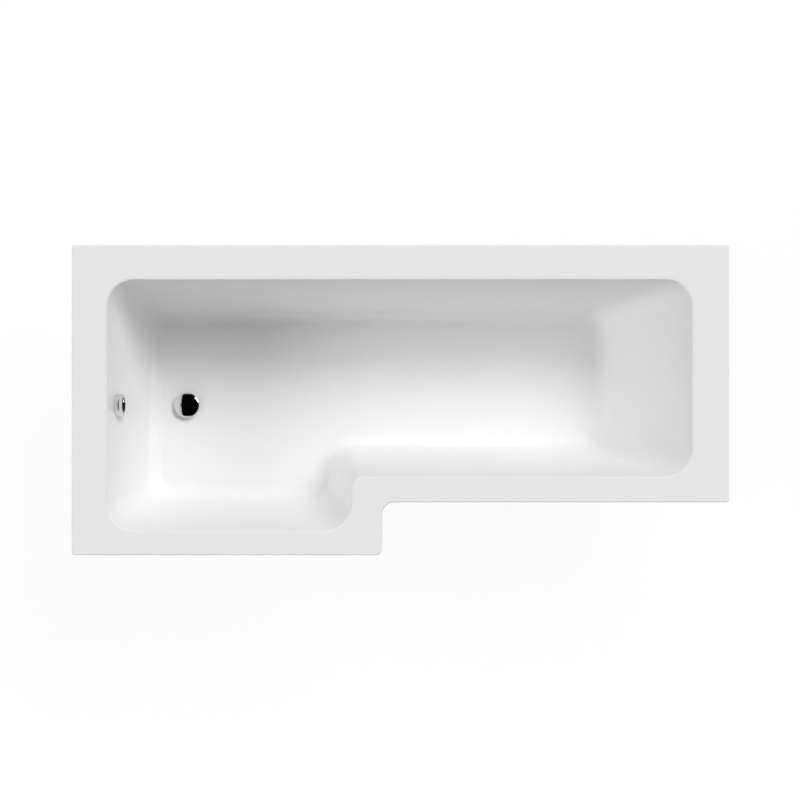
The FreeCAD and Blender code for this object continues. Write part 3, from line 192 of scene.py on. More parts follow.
class FittingSizes(bpy.types.PropertyGroup):
    """The waste, the plug, the overflow and the hose between them."""

    dome_radius: length("Plug dome", "Radius of the plug's dome", 0.097)
    plug_edge: length("Plug edge", "Round at the plug's rim", 0.0011)
    barrel: length("Barrel", "Outer diameter of the waste's barrel", 0.044)
    barrel_wall: length("Barrel wall", "Wall of the waste's barrel", 0.0025)
    flange_thickness: length("Flange", "Thickness of the waste's flange", 0.003)
    flange_edge: length("Flange edge", "Round at the flange's bright edges", 0.002)
    spider_thickness: length("Spider", "Thickness of the spider in the barrel", 0.006)
    spider_ring: length("Spider ring", "Diameter of the spider's ring", 0.025)
    spider_arm: length("Spider arm", "Width of the spider's arms", 0.005)
    cartridge: length("Cartridge", "Diameter of the click cartridge", 0.018)
    cartridge_collar: length("Cartridge collar", "Thickness of the cartridge's collar", 0.002)
    stem: length("Stem", "Diameter of the plug's stem", 0.009)
    stem_collar: length("Stem collar", "Thickness of the stem's collar", 0.003)
    spring_wire: length("Spring wire", "Wire of the click spring", 0.001)
    spring_pitch: length("Spring pitch", "Pitch of the click spring", 0.0032)
    plug_travel: length("Plug travel", "How far the plug is pressed", 0.007)
    turned_edge: length("Turned edge", "Round at the edges of turned metal", 0.0004)
    seal_edge: length("Seal edge", "Round at the edges of the soft rings", 0.0006)
    mould_edge: length("Mould edge", "Round at the edges of the mouldings", 0.0012)
    tee_flange: length("Tee flange", "Thickness of the tee's flange", 0.005)
    tee_body: length("Tee body", "Diameter of the tee's chamber", 0.056)
    tee_wall: length("Tee wall", "Wall of the tee", 0.0035)
    tee_drop: length("Tee drop", "Height of the tee's chamber", 0.072)
    tee_collar: length("Tee collar", "How far the inlet's collar stands out", 0.0025)
    outlet: length("Outlet", "Outer diameter of the trap's thread", 0.0478)
    outlet_bore: length("Outlet bore", "Bore of the outlet", 0.04)
    outlet_pitch: length("Outlet pitch", "Pitch of the trap's thread", 0.0023)
    outlet_thread: length("Outlet thread", "Depth of the trap's thread", 0.0012)
    tube: length("Tube", "Outer diameter of the hose and its spigots", 0.034)
    tube_root: length("Tube root", "Diameter of the hose between its ribs", 0.03)
    tube_bore: length("Tube bore", "Bore of the hose and its spigots", 0.026)
    tube_bend: length("Tube bend", "Radius of the hose's bend", 0.095)
    tube_cuff: length("Tube cuff", "Plain end of the hose", 0.034)
    tube_ribs: IntProperty(name="Tube ribs", description="Ribs of the hose", default=56, min=1)
    nut_bore: length("Hose nut bore", "Bore of the hose nuts", 0.0348)
    nut_flute: length("Hose nut flute", "Radius of the grip hollows of the hose nuts", 0.0022)
    cap_diameter: length("Cap", "Diameter of the overflow's cap", 0.0625)
    cap_depth: length("Cap depth", "How far the cap stands off the wall", 0.015)
    cap_gap: length("Cap gap", "Cap's edge off the wall", 0.0005)
    cap_wall: length("Cap wall", "Wall of the cap", 0.002)
    cap_crown: length("Cap crown", "How far the cap's face swells", 0.0006)
    cap_edge: length("Cap edge", "Round at the cap's face", 0.0012)
    slot_width: length("Slot width", "Width of a water slot", 0.009)
    slot_height: length("Slot height", "Height of a water slot", 0.005)
    slot_edge: length("Slot edge", "Round of a water slot's corners", 0.001)
    slot_spacing: length("Slot spacing", "Spacing of the water slots", 0.014)
    slot_rise: length("Slot rise", "Water slots off the wall", 0.004)
    grid_diameter: length("Grid", "Diameter of the overflow's grid", 0.0581)
    grid_thickness: length("Grid thickness", "Thickness of the overflow's grid", 0.003)
    grid_hole: length("Grid hole", "Diameter of a hole of the grid", 0.011)
    grid_circle: length("Grid circle", "Diameter of the circle of holes", 0.03)
    overflow_screw: length("Overflow screw", "Diameter of the overflow's screw", 0.006)
    overflow_screw_length: length("Screw length", "Length of the overflow's screw", 0.036)
    overflow_pitch: length("Overflow screw pitch", "Pitch of the overflow's screw", 0.001)
    overflow_thread: length("Overflow thread", "Depth of that screw's thread", 0.0005)
    overflow_head: length("Overflow screw head", "Diameter of the head", 0.012)
    overflow_head_height: length("Head height", "Height of the overflow screw's head", 0.003)
    elbow_start: length("Elbow start", "Elbow's flange behind the well's surface", 0.0123)
    elbow_flange: length("Elbow flange", "Diameter of the elbow's flange", 0.062)
    elbow_flange_thickness: length("Elbow flange thickness", "Thickness of that flange", 0.004)
    elbow_cup: length("Elbow cup", "Diameter of the elbow's cup", 0.054)
    elbow_depth: length("Elbow depth", "Depth of the elbow's cup", 0.036)
    elbow_wall: length("Elbow wall", "Wall of the elbow", 0.0025)
    elbow_boss: length("Elbow boss", "Diameter of the elbow's screw boss", 0.014)
    elbow_boss_length: length("Elbow boss length", "Length of the elbow's screw boss", 0.03)
    overflow_seal_inset: length("Seal inset", "Overflow's seal inside the elbow's flange", 0.002)


class Finishes(bpy.types.PropertyGroup):
    """The colours of the finishes."""

    acrylic: colour("Acrylic", "White formed sheet", (0.94, 0.94, 0.94))
    laminate: colour("Laminate", "Resin with chopped glass strands", (0.66, 0.66, 0.58))
    chipboard: colour("Chipboard", "Raw chipboard", (0.44, 0.29, 0.15))
    softwood: colour("Softwood", "Planed softwood", (0.60, 0.40, 0.20))
    zinc: colour("Zinc", "Zinc plated steel", (0.56, 0.58, 0.60))
    chrome: colour("Chrome", "Polished chrome plate", (0.80, 0.81, 0.82))
    brass: colour("Brass", "Turned brass", (0.66, 0.46, 0.17))
    spring_steel: colour("Stainless", "Stainless wire", (0.58, 0.57, 0.55))
    rubber: colour("Rubber", "Black soft rings", (0.018, 0.018, 0.019))
    pad_plastic: colour("Pad plastic", "Black moulded pads", (0.022, 0.022, 0.024))
    white_plastic: colour("White plastic", "White mouldings", (0.74, 0.74, 0.72))
    grey_plastic: colour("Grey plastic", "Grey mouldings", (0.19, 0.20, 0.22))
    hose_plastic: colour("Hose plastic", "Pale ribbed hose", (0.62, 0.63, 0.64))
    floor: colour("Floor", "Studio floor", (0.8, 0.8, 0.8))
    ceiling: colour("Ceiling", "Dark studio ceiling", (0.002, 0.002, 0.002))


class StageSizes(bpy.types.PropertyGroup):
    """The studio: floor, ceiling, camera and lamps."""

    camera_above_rim: length("Camera", "Camera above the deck", 6.0)
    camera_left: length("Camera left", "Camera left of the outline's middle", 0.0012)
    view_width: length("View width", "What the picture spans at the deck", 2.189)
    floor_reach: length("Floor", "Side of the studio floor", 80.0)
    ceiling_height: length("Ceiling height", "Dark ceiling above the floor", 7.4)
    ceiling_reach: length("Ceiling reach", "Side of the dark ceiling", 26.0)
    floor_glow: share("Floor glow", "Share of the floor's white that no shadow takes away", 0.95)
    ambient: share("Ambient", "Light from all round", 0.2)
    left: share("Left", "Strength of the soft lamp over the shower end", 0.8)
    right: share("Right", "Strength of the soft lamp over the backrest", 0.77)
    back: share("Back", "Strength of the soft lamp over the wall behind", 1.31)
    front: share("Front", "Strength of the low soft lamp in front of the shower end", 0.24)
    softness: FloatProperty(
        name="Softness",
        description="Width of the soft lamps as seen from the bath",
        default=math.radians(22),
        min=0,
        subtype="ANGLE",
    )
    strip: FloatProperty(
        name="Strip",
        description="Power of the strip lamp that bright metal mirrors",
        default=12.0,
        min=0,
        unit="POWER",
    )
    strip_width: length("Strip width", "Width of the strip lamp, upright", 0.4)
    strip_length: length("Strip length", "Length of the strip lamp, level", 1.7)


# Modelling by hand, in code


def only(piece):
    """Selects one object and nothing else."""
    if bpy.context.object and bpy.context.object.mode != "OBJECT":
        bpy.ops.object.mode_set(mode="OBJECT")
    bpy.ops.object.select_all(action="DESELECT")
    piece.select_set(True)
    bpy.context.view_layer.objects.active = piece


def edit(piece):
    """Opens a piece in edit mode with all of it selected."""
    only(piece)
    bpy.ops.object.mode_set(mode="EDIT")
    bpy.ops.mesh.select_mode(type="VERT")
    bpy.ops.mesh.select_all(action="SELECT")


def leave():
    """Goes back to object mode, which brings the mesh up to date."""
    bpy.ops.object.mode_set(mode="OBJECT")


def pick(piece, domain, test):
    """Selects the vertices, edges or polygons that pass a test, and goes on in edit mode."""
    leave()
    mesh = piece.data
    for part in (mesh.vertices, mesh.edges, mesh.polygons):
        for item in part:
            item.select = False
    for item in getattr(mesh, domain):
        item.select = test(item)
    bpy.ops.object.mode_set(mode="EDIT")
    bpy.ops.mesh.select_mode(type={"vertices": "VERT", "edges": "EDGE", "polygons": "FACE"}[domain])


def ends(piece, edge):
    """The two points of an edge."""
    return [piece.data.vertices[i].co for i in edge.vertices]


def at(*spots):
    """A test for vertices on any of some points."""
    return lambda vertex: any((vertex.co - spot).length < NEAR for spot in spots)


def settle(piece):
    """Puts an object's place, turn and size into its mesh."""
    only(piece)
    bpy.ops.object.transform_apply(location=True, rotation=True, scale=True)
    return piece


def started(name):
    """Names the primitive that was just added and settles it."""
    piece = bpy.context.object
    piece.name = piece.data.name = name
    return settle(piece)


def clear_selection():
    """Comes before each primitive, so that what follows acts on nothing else."""
    bpy.ops.object.select_all(action="DESELECT")


def tidy(piece):
    """Welds a piece's doubled points and turns its faces outwards."""
    edit(piece)
    bpy.ops.mesh.remove_doubles(threshold=NEAR / 10)
    bpy.ops.mesh.normals_make_consistent(inside=False)
    leave()
    return piece


def change(piece, kind, **settings):
    """Adds a modifier and applies it."""
    only(piece)
    modifier = piece.modifiers.new(kind.lower(), kind)
    for name, value in settings.items():
        setattr(modifier, name, value)
    bpy.ops.object.modifier_apply(modifier=modifier.name)
    return piece


def combine(piece, tool, operation):
    """A boolean with a tool that is used up."""
    change(piece, "BOOLEAN", object=tool, operation=operation, solver="EXACT")
    bpy.data.objects.remove(tool)
    return piece


def cut(piece, *tools):
    """Takes tools out of a piece, one after the other."""
    for tool in tools:
        combine(piece, tool, "DIFFERENCE")
    return piece


def add(piece, *tools):
    """Grows a piece by tools, one after the other."""
    for tool in tools:
        combine(piece, tool, "UNION")
    return piece


def joined(name, pieces):
    """Several objects made one, each part as it was."""
    only(pieces[0])
    for piece in pieces:
        piece.select_set(True)
    bpy.ops.object.join()
    pieces[0].name = pieces[0].data.name = name
    return pieces[0]


def copied(piece, name, place):
    """A copy with a mesh of its own, moved by a matrix."""
    only(piece)
    bpy.ops.object.duplicate(linked=False)
    copy = bpy.context.object
    copy.name = copy.data.name = name
    copy.matrix_world = place
    return settle(copy)


def shifted(place):
    """The matrix that carries the origin to a place."""
    return Matrix.Translation(Vector(place))


def rod(name, radius, low, high, x=0, y=0, sides=48):
    """An upright cylinder."""
    clear_selection()
    bpy.ops.mesh.primitive_cylinder_add(
        vertices=sides, radius=radius, depth=high - low, location=(x, y, (low + high) / 2)
    )
    return started(name)


def block(name, low, high, edge=0):
    """A box between two corners, with softened edges."""
    clear_selection()
    bpy.ops.mesh.primitive_cube_add(size=1, location=(low + high) / 2)
    bpy.context.object.scale = high - low
    piece = started(name)
    if edge:
        edit(piece)
        bpy.ops.mesh.bevel(offset=edge, segments=2, affect="EDGES")
        leave()
    return piece


def chain(name, points):
    """A line of points, drawn by pulling one vertex from point to point."""
    clear_selection()
    bpy.ops.mesh.primitive_plane_add(size=NEAR, location=points[0])
    piece = started(name)
    edit(piece)
    bpy.ops.mesh.merge(type="CENTER")
    for here, there in zip(points, points[1:]):
        bpy.ops.mesh.extrude_vertices_move(TRANSFORM_OT_translate={"value": there - here})
    return piece


def soften(piece, point, radius, segments):
    """Rounds the corner of a line at a point."""
    pick(piece, "vertices", at(point))
    bpy.ops.mesh.bevel(offset=radius, segments=segments, affect="VERTICES")


def lathe(name, profile, steps=64):
    """A turned piece round the Z axis.

    The profile lists (radius, height) or (radius, height, round). It runs from the axis to the axis,
    or closes into a ring.
    """
    points = [Vector((radius, 0, height)) for radius, height, *_ in profile]
    piece = chain(name, points)
    if points[0].x > 0:
        pick(piece, "vertices", at(points[0], points[-1]))
        bpy.ops.mesh.edge_face_add()
    for point, (_, _, *rounding) in zip(points, profile):
        if rounding:
            soften(piece, point, rounding[0], EDGE_STEPS)
    bpy.ops.mesh.select_all(action="SELECT")
    bpy.ops.mesh.spin(steps=steps, angle=2 * math.pi, center=(0, 0, 0), axis=(0, 0, 1))
    return tidy(piece)


def moved(piece, place):
    """Moves a piece by a matrix, into its mesh."""
    piece.matrix_world = place
    return settle(piece)


def pressing(name, points, gauge, bend, way):
    """Sheet steel folded along a line of points at its middle, and run out along a way."""
    piece = chain(name, points)
    for point in points[1:-1]:
        soften(piece, point, bend, EDGE_STEPS)
    bpy.ops.mesh.select_all(action="SELECT")
    bpy.ops.mesh.extrude_region_move(TRANSFORM_OT_translate={"value": way})
    tidy(piece)
    change(piece, "SOLIDIFY", thickness=gauge, offset=0, use_even_offset=True)
    return tidy(piece)


def ring_of(name, count, radius, distance, low, high):
    """Upright cylinders in a circle, as one cutter."""
    rods = []
    for i in range(count):
        angle = 2 * math.pi * i / count
        x, y = distance * math.cos(angle), distance * math.sin(angle)
        rods.append(rod(f"{name}_{i}", radius, low, high, x, y, 16))
    return joined(name, rods)


def thread(name, radius, depth, pitch, height, steps=24):
    """A threaded rod from the floor up, closed at both ends.

    Its helix starts over a turn below the floor, in pitches, with none of its points on the floor.
    """
    root, below = radius - depth, -1.32
    section = ((root, 0), (radius, 0.4), (radius, 0.55), (root, 1))
    piece = chain(name, [Vector((x, 0, (below + part) * pitch)) for x, part in section])
    leave()
    change(
        piece,
        "SCREW",
        axis="Z",
        screw_offset=pitch,
        iterations=math.ceil(height / pitch) + 2,
        steps=steps,
        render_steps=steps,
        use_merge_vertices=True,
        merge_threshold=NEAR / 10,
    )
    for level, side in ((0, "clear_inner"), (height, "clear_outer")):
        edit(piece)
        sides = {side: True, "use_fill": True, "threshold": NEAR / 10}
        bpy.ops.mesh.bisect(plane_co=(0, 0, level), plane_no=(0, 0, 1), **sides)
        leave()
    return tidy(piece)


def pan_head(name, radius, rise):
    """A screw's head that faces down, with a cross in it."""
    side = rise * 0.8
    outline = [(0, 0), (radius * 0.8, 0, rise * 0.4), (radius, side, rise * 0.15), (radius, rise), (0, rise)]
    head = lathe(name, outline, 48)
    reach, half, depth = radius * 0.55, radius * 0.14, rise * 0.54
    across = block("cross_across", Vector((-reach, -half, -PAST)), Vector((reach, half, depth)))
    along = block("cross_along", Vector((-half, -reach, -PAST)), Vector((half, reach, depth)))
    return cut(head, add(across, along))


def washer(name, outer, bore, thickness, edge):
    """A flat soft ring on the floor."""
    corners = ((bore, 0), (outer, 0), (outer, thickness), (bore, thickness))
    return lathe(name, [(*corner, edge) for corner in corners], 72)


def middle_of(node):
    """A node's middle, at the height of its lowest point."""
    low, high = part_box(node)
    return Vector(((low.x + high.x) / 2, (low.y + high.y) / 2, low.z))


def seat_of(node):
    """The place of a piece that is modelled round the origin, from the floor up."""
    return shifted(middle_of(node))


# Shader maths


class Value:
    """A shader socket that can stand in a sum."""

    def __init__(self, finish, socket):
        self.finish = finish
        self.socket = socket

    def math(self, operation, first, second):
        return self.finish.node("ShaderNodeMath", {"operation": operation}, {0: first, 1: second})

    def __add__(self, other):
        return self.math("ADD", self, other)

    def __mul__(self, other):
        return self.math("MULTIPLY", self, other)

    def __or__(self, other):
        return self.math("MAXIMUM", self, other)

    __radd__, __rmul__, __ror__ = __add__, __mul__, __or__


class Finish:
    """The nodes of a material or of the world."""

    def __init__(self, holder):
        holder.use_nodes = True
        self.holder = holder
        self.tree = holder.node_tree
        self.tree.nodes.clear()

    def node(self, kind, settings=None, inputs=None, output=0):
        """Adds a node: its settings first, then its sockets' values or links. Gives one output."""
        made = self.tree.nodes.new(kind)
        for name, value in (settings or {}).items():
            if name == "stops":
                self.set_stops(made.color_ramp.elements, value)
            else:
                setattr(made, name, value)
        for name, value in (inputs or {}).items():
            if isinstance(value, Value):
                self.tree.links.new(value.socket, made.inputs[name])
            else:
                made.inputs[name].default_value = value
        return Value(self, made.outputs[output]) if made.outputs else made

    def set_stops(self, elements, stops):
        while len(elements) < len(stops):
            elements.new(1)
        for element, (place, level) in zip(elements, stops):
            element.position = place
            element.color = (level, level, level, 1)

    def where(self, stretch=(1, 1, 1), turn=(0, 0, 0)):
        """The piece's own coordinates, turned and then stretched."""
        spot = self.node("ShaderNodeTexCoord", output="Object")
        values = {"Vector": spot, "Rotation": turn, "Scale": tuple(1 / part for part in stretch)}
        return self.node("ShaderNodeMapping", {"vector_type": "TEXTURE"}, values)

    def noise(self, vector, scale, detail=2.0, roughness=0.5):
        values = {"Vector": vector, "Scale": scale, "Detail": detail, "Roughness": roughness}
        return self.node("ShaderNodeTexNoise", {}, values, "Fac")

    def ramp(self, value, *stops):
        return self.node("ShaderNodeValToRGB", {"stops": stops}, {"Fac": value})

    def mix(self, factor, first, second):
        """One colour to another."""
        values = {0: factor, 6: opaque(first), 7: opaque(second)}
        return self.node("ShaderNodeMix", {"data_type": "RGBA"}, values, 2)

    def bump(self, height, distance, strength=1.0):
        values = {"Height": height, "Distance": distance, "Strength": strength}
        return self.node("ShaderNodeBump", {}, values)

    def surface(self, **sockets):
        """Closes a material with a Principled shader. An underscore stands for a space."""
        values = {name.replace("_", " "): value for name, value in sockets.items()}
        shader = self.node("ShaderNodeBsdfPrincipled", {}, values)
        return self.close(shader, "ShaderNodeOutputMaterial")

    def close(self, shader, kind):
        self.node(kind, {}, {"Surface": shader})
        return self.holder


def opaque(colour_value):
    """A colour with full alpha, or a socket as it is."""
    return colour_value if isinstance(colour_value, Value) else (*colour_value, 1.0)


def shade(base, factor):
    """A colour made darker or lighter."""
    return tuple(min(1.0, part * factor) for part in base)


def new_finish(name):
    """A new material's nodes."""
    return Finish(bpy.data.materials.new(name))


# Finishes


def acrylic_finish(base):
    """Polished white acrylic: a breath of unevenness from the forming and the polishing."""
    finish = new_finish("white_acrylic")
    spot = finish.where()
    waves = finish.noise(spot, 5.0, 1.0)
    haze = finish.noise(spot, 18.0, 2.0)
    return finish.surface(
        Base_Color=finish.mix(waves, shade(base, 0.99), base),
        Roughness=0.28 + haze * 0.05,
        IOR=1.49,
    )


def laminate_finish(base):
    """Glass strands lying every way in rolled resin."""
    finish = new_finish("glass_laminate")
    ways = ((0, 0.3), (0.9, 1.2), (-0.7, 2.2), (1.3, 0.4), (-1.2, 1.6), (0.3, 2.8))
    ways += ((0.75, 0.1), (-0.75, -0.1))
    strands = None
    for tilt, turn in ways:
        layer = finish.noise(finish.where((24, 560, 560), (0, tilt, turn)), 1.0, 1.0)
        strands = layer if strands is None else strands | layer
    strands = finish.ramp(strands, (0.66, 0.0), (0.80, 1.0))
    pools = finish.noise(finish.where(), 14.0, 3.0)
    tone = finish.mix(pools, shade(base, 0.72), base)
    return finish.surface(
        Base_Color=finish.mix(strands * 0.55, tone, shade(base, 1.35)),
        Roughness=0.30 + pools * 0.35,
        IOR=1.54,
        Normal=finish.bump(strands * 0.5 + pools * 0.5, 0.0012, 0.8),
    )


def chipboard_finish(base):
    """Pressed chips of mixed tones, with a few dark slivers."""
    finish = new_finish("raw_chipboard")
    spot = finish.where((170, 90, 260))
    chips = finish.node("ShaderNodeTexVoronoi", {}, {"Vector": spot, "Scale": 1.0}, "Color")
    tone = finish.node("ShaderNodeSeparateColor", {}, {"Color": chips}, "Red")
    dust = finish.noise(finish.where(), 420.0, 4.0)
    slivers = finish.ramp(finish.noise(finish.where((60, 420, 300)), 1.0, 2.0), (0.62, 0.0), (0.70, 1.0))
    body = finish.mix(tone, shade(base, 0.68), shade(base, 1.45))
    return finish.surface(
        Base_Color=finish.mix(slivers * 0.6, body, shade(base, 0.30)),
        Roughness=0.72 + dust * 0.2,
        Normal=finish.bump(tone * 0.5 + dust * 0.5, 0.0006, 0.7),
    )


def softwood_finish(base, turn):
    """Planed softwood: year rings cut lengthwise, and fine grain."""
    finish = new_finish("planed_softwood" if turn else "planed_softwood_along")
    along = finish.where((1.6, 34, 34), (0, 0, turn))
    rings = finish.node(
        "ShaderNodeTexWave",
        {"wave_type": "RINGS", "rings_direction": "X"},
        {"Vector": along, "Scale": 1.1, "Distortion": 3.2, "Detail": 2.0, "Detail Scale": 0.8},
        "Fac",
    )
    grain = finish.noise(finish.where((30, 900, 900), (0, 0, turn)), 1.0, 3.0)
    late = finish.ramp(rings, (0.35, 0.0), (0.95, 1.0))
    body = finish.mix(late * 0.75, shade(base, 1.12), shade(base, 0.62))
    return finish.surface(
        Base_Color=finish.mix(grain * 0.35, body, shade(base, 0.72)),
        Roughness=0.55 + grain * 0.25,
        Normal=finish.bump(grain * 0.7 + late * 0.3, 0.0004, 0.6),
    )


def metal_finish(name, base, roughness, mottle_scale, mottle_depth):
    """Bare or plated metal with patches of tone and fine scratches."""
    finish = new_finish(name)
    patches = finish.noise(finish.where(), mottle_scale, 4.0)
    scratches = finish.noise(finish.where((900, 40, 900), (0.4, 0.3, 0.5)), 1.0, 2.0)
    return finish.surface(
        Base_Color=finish.mix(patches, shade(base, 1 - mottle_depth), shade(base, 1 + mottle_depth / 2)),
        Metallic=1.0,
        Roughness=roughness * (0.7 + patches * 0.5 + scratches * 0.2),
        Normal=finish.bump(scratches, 0.00003, 0.4),
    )


def chrome_finish(base):
    """Polished chrome with a breath of water marks."""
    finish = new_finish("polished_chrome")
    marks = finish.noise(finish.where(), 160.0, 5.0, 0.6)
    smears = finish.ramp(finish.noise(finish.where(), 38.0, 3.0), (0.45, 0.0), (0.75, 1.0))
    return finish.surface(
        Base_Color=finish.mix(marks * 0.4, base, shade(base, 0.94)),
        Metallic=1.0,
        Roughness=0.03 + smears * 0.03 + marks * 0.02,
    )


def moulding_finish(name, base, roughness, grain):
    """Moulded plastic or rubber: a fine die texture and slight flow marks."""
    finish = new_finish(name)
    texture = finish.noise(finish.where(), grain, 3.0, 0.6)
    flow = finish.noise(finish.where((1, 1, 0.35)), 26.0, 2.0)
    return finish.surface(
        Base_Color=finish.mix(flow, shade(base, 0.90), shade(base, 1.06)),
        Roughness=roughness * (0.8 + texture * 0.3 + flow * 0.1),
        Normal=finish.bump(texture, 0.00012, 0.35),
    )


def make_finishes(colours):
    """Every finish of the bath, by the name that its pieces ask for.

    A metal is given its roughness and the scale and depth of its patches, a moulding its roughness
    and the scale of its grain.
    """
    return {
        "acrylic": acrylic_finish(colours.acrylic),
        "laminate": laminate_finish(colours.laminate),
        "chipboard": chipboard_finish(colours.chipboard),
        "softwood_along": softwood_finish(colours.softwood, 0.0),
        "softwood_across": softwood_finish(colours.softwood, math.pi / 2),
        "zinc_steel": metal_finish("zinc_plate", colours.zinc, 0.41, 90.0, 0.22),
        "chrome": chrome_finish(colours.chrome),
        "brass": metal_finish("turned_brass", colours.brass, 0.19, 60.0, 0.15),
        "spring_steel": metal_finish("stainless_wire", colours.spring_steel, 0.19, 120.0, 0.12),
        "seal_rubber": moulding_finish("seal_rubber", colours.rubber, 0.72, 900.0),
        "pad_plastic": moulding_finish("pad_plastic", colours.pad_plastic, 0.50, 700.0),
        "white_plastic": moulding_finish("white_moulding", colours.white_plastic, 0.38, 600.0),
        "grey_plastic": moulding_finish("grey_moulding", colours.grey_plastic, 0.42, 600.0),
        "hose_plastic": moulding_finish("hose_plastic", colours.hose_plastic, 0.36, 500.0),
    }


FINISHES = {}


def finish_named(name):
    """A finish, with all of them made at the first call."""
    if not FINISHES:
        FINISHES.update(make_finishes(bpy.context.scene.bath_finishes))
    return FINISHES[name]


def dress(piece, body, finish, node, crease=35):
    """Shades a finished piece, gives it its finish and ties it to its place on the bath.
    """
    only(piece)
    bpy.ops.object.shade_smooth_by_angle(angle=math.radians(crease))
    piece.data.materials.clear()
    piece.data.materials.append(finish_named(finish))
    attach(piece, body)
    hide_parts(node)


def soft_ring(name, node, bore, edge, body):
    """A flat rubber ring in the place of a node that lies level."""
    low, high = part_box(node)
    ring = washer(name, (high.x - low.x) / 2, bore, high.z - low.z, edge)
    dress(moved(ring, seat_of(node)), body, "seal_rubber", node)


# Outlines of the bath


def rim_sides(shell):
    """Left, shower front, step, rest front, right and back of the outline, and its rounds."""
    left, back, corner = -shell.length / 2, shell.width / 2, shell.outer_corner
    sides = (left, -back, left + shell.shower_length, back - shell.rest_width, -left, back)
    return sides, (corner, corner, shell.step_corner, shell.nook, corner, corner)


def well_sides(shell, drop, offset=0.0):
    """The well's outline at a drop below the deck, moved out square to its walls."""
    (left, front, step, rest, right, back), _ = rim_sides(shell)
    part = drop / shell.depth

    def inward(lean):
        """How far a wall has come in at the drop, less its move out, measured level."""
        return lean * part - offset * math.hypot(1, lean / shell.depth)

    sides = (
        left + shell.rim_left + inward(shell.lean_left),
        front + shell.rim_shower_front + inward(shell.lean_front),
        step - shell.rim_step - inward(shell.lean_step),
        rest + shell.rim_rest_front + inward(shell.lean_front),
        right - shell.rim_right - inward(shell.lean_right),
        back - shell.rim_back - inward(shell.lean_back),
    )
    corner = shell.well_corner + (shell.floor_corner - shell.well_corner) * part + offset
    nook = shell.well_nook + (shell.floor_nook - shell.well_nook) * part - offset
    return sides, (corner, corner, corner, nook, corner, corner)


def l_ring(name, outline, height, face=False):
    """The bath's L at a height: a plane cut at the step, its front pulled out and its corners rounded."""
    (left, front, step, rest, right, back), rounds = outline
    clear_selection()
    bpy.ops.mesh.primitive_plane_add(size=1, location=((left + right) / 2, (rest + back) / 2, height))
    bpy.context.object.scale = (right - left, back - rest, 1)
    ring = started(name)
    edit(ring)
    bpy.ops.mesh.bisect(plane_co=(step, 0, 0), plane_no=(1, 0, 0))

    def front_of_wide(edge):
        spots = ends(ring, edge)
        return all(abs(spot.y - rest) < NEAR and spot.x < step + NEAR for spot in spots)

    pick(ring, "edges", front_of_wide)
    bpy.ops.mesh.extrude_region_move(TRANSFORM_OT_translate={"value": (0, front - rest, 0)})
    bpy.ops.mesh.select_all(action="SELECT")
    bpy.ops.mesh.dissolve_limited(angle_limit=math.radians(1))
    corners = ((left, back), (left, front), (step, front), (step, rest), (right, rest), (right, back))
    for (x, y), radius in zip(corners, rounds):
        soften(ring, Vector((x, y, height)), radius, CORNER_STEPS)
    if not face:
        bpy.ops.mesh.select_mode(type="FACE")
        bpy.ops.mesh.select_all(action="SELECT")
        bpy.ops.mesh.delete(type="ONLY_FACE")
    leave()
    return ring


def bridged(name, rings):
    """One skin over rings that follow each other."""
    skin = rings[0]
    for ring in rings[1:]:
        joined(name, [skin, ring])
        edit(skin)
        bpy.ops.mesh.select_mode(type="EDGE")
        bpy.ops.mesh.select_non_manifold(
            extend=False, use_multi_face=False, use_non_contiguous=False, use_verts=False
        )
        bpy.ops.mesh.bridge_edge_loops()
        leave()
    return tidy(skin)


def level_loop(skin, height, turned_down=None):
    """A test for the bends at a height. Those of the rim's outside have a face that stands upright."""
    sharpest_flat, upright, faces = math.radians(25), 0.01, {}
    for face in skin.data.polygons:
        for key in face.edge_keys:
            faces.setdefault(key, []).append(face.normal)

    def wanted(edge):
        normals = faces.get(tuple(sorted(edge.vertices)), [])
        level = all(abs(spot.z - height) < NEAR for spot in ends(skin, edge))
        if not level or len(normals) < 2 or normals[0].angle(normals[1]) < sharpest_flat:
            return False
        outside = min(abs(normal.z) for normal in normals) < upright
        return turned_down is None or outside == turned_down

    return wanted


def bevel_loop(skin, radius, lean, segments, test):
    """Rounds a bend between a level face and a wall that leans, to a radius."""
    turn = math.pi / 2 - math.atan(lean)
    pick(skin, "edges", test)
    bpy.ops.mesh.bevel(
        offset=radius * math.tan(turn / 2), segments=segments, affect="EDGES", clamp_overlap=False
    )
    leave()


def wall_frame(shell):
    """The overflow's place: its Z axis stands square on the end wall, pointing into the well."""
    lean = math.atan(shell.lean_left / shell.depth)
    x = -shell.length / 2 + shell.rim_left + shell.lean_left * shell.overflow_drop / shell.depth
    spot = (x, middle_of("waste_flange").y, shell.rim_height - shell.overflow_drop)
    return shifted(spot) @ Matrix.Rotation(math.pi / 2 - lean, 4, "Y")


def barrel_bore(fit):
    """The radius of the bore through the waste's barrel."""
    return fit.barrel / 2 - fit.barrel_wall


def drill_holes(skin, shell, gap):
    """The waste hole and the overflow hole, wider than the sheet's by a gap."""
    waste = middle_of("waste_flange")
    floor = shell.rim_height - shell.depth
    radius = shell.waste_hole / 2 + gap
    reach = 4 * shell.backing_outside
    cut(skin, rod("waste_drill", radius, floor - reach, floor + reach, waste.x, waste.y, 96))
    side_drill = rod("overflow_drill", shell.overflow_hole / 2 + gap, -reach, reach, sides=96)
    cut(skin, moved(side_drill, wall_frame(shell)))


# Pieces


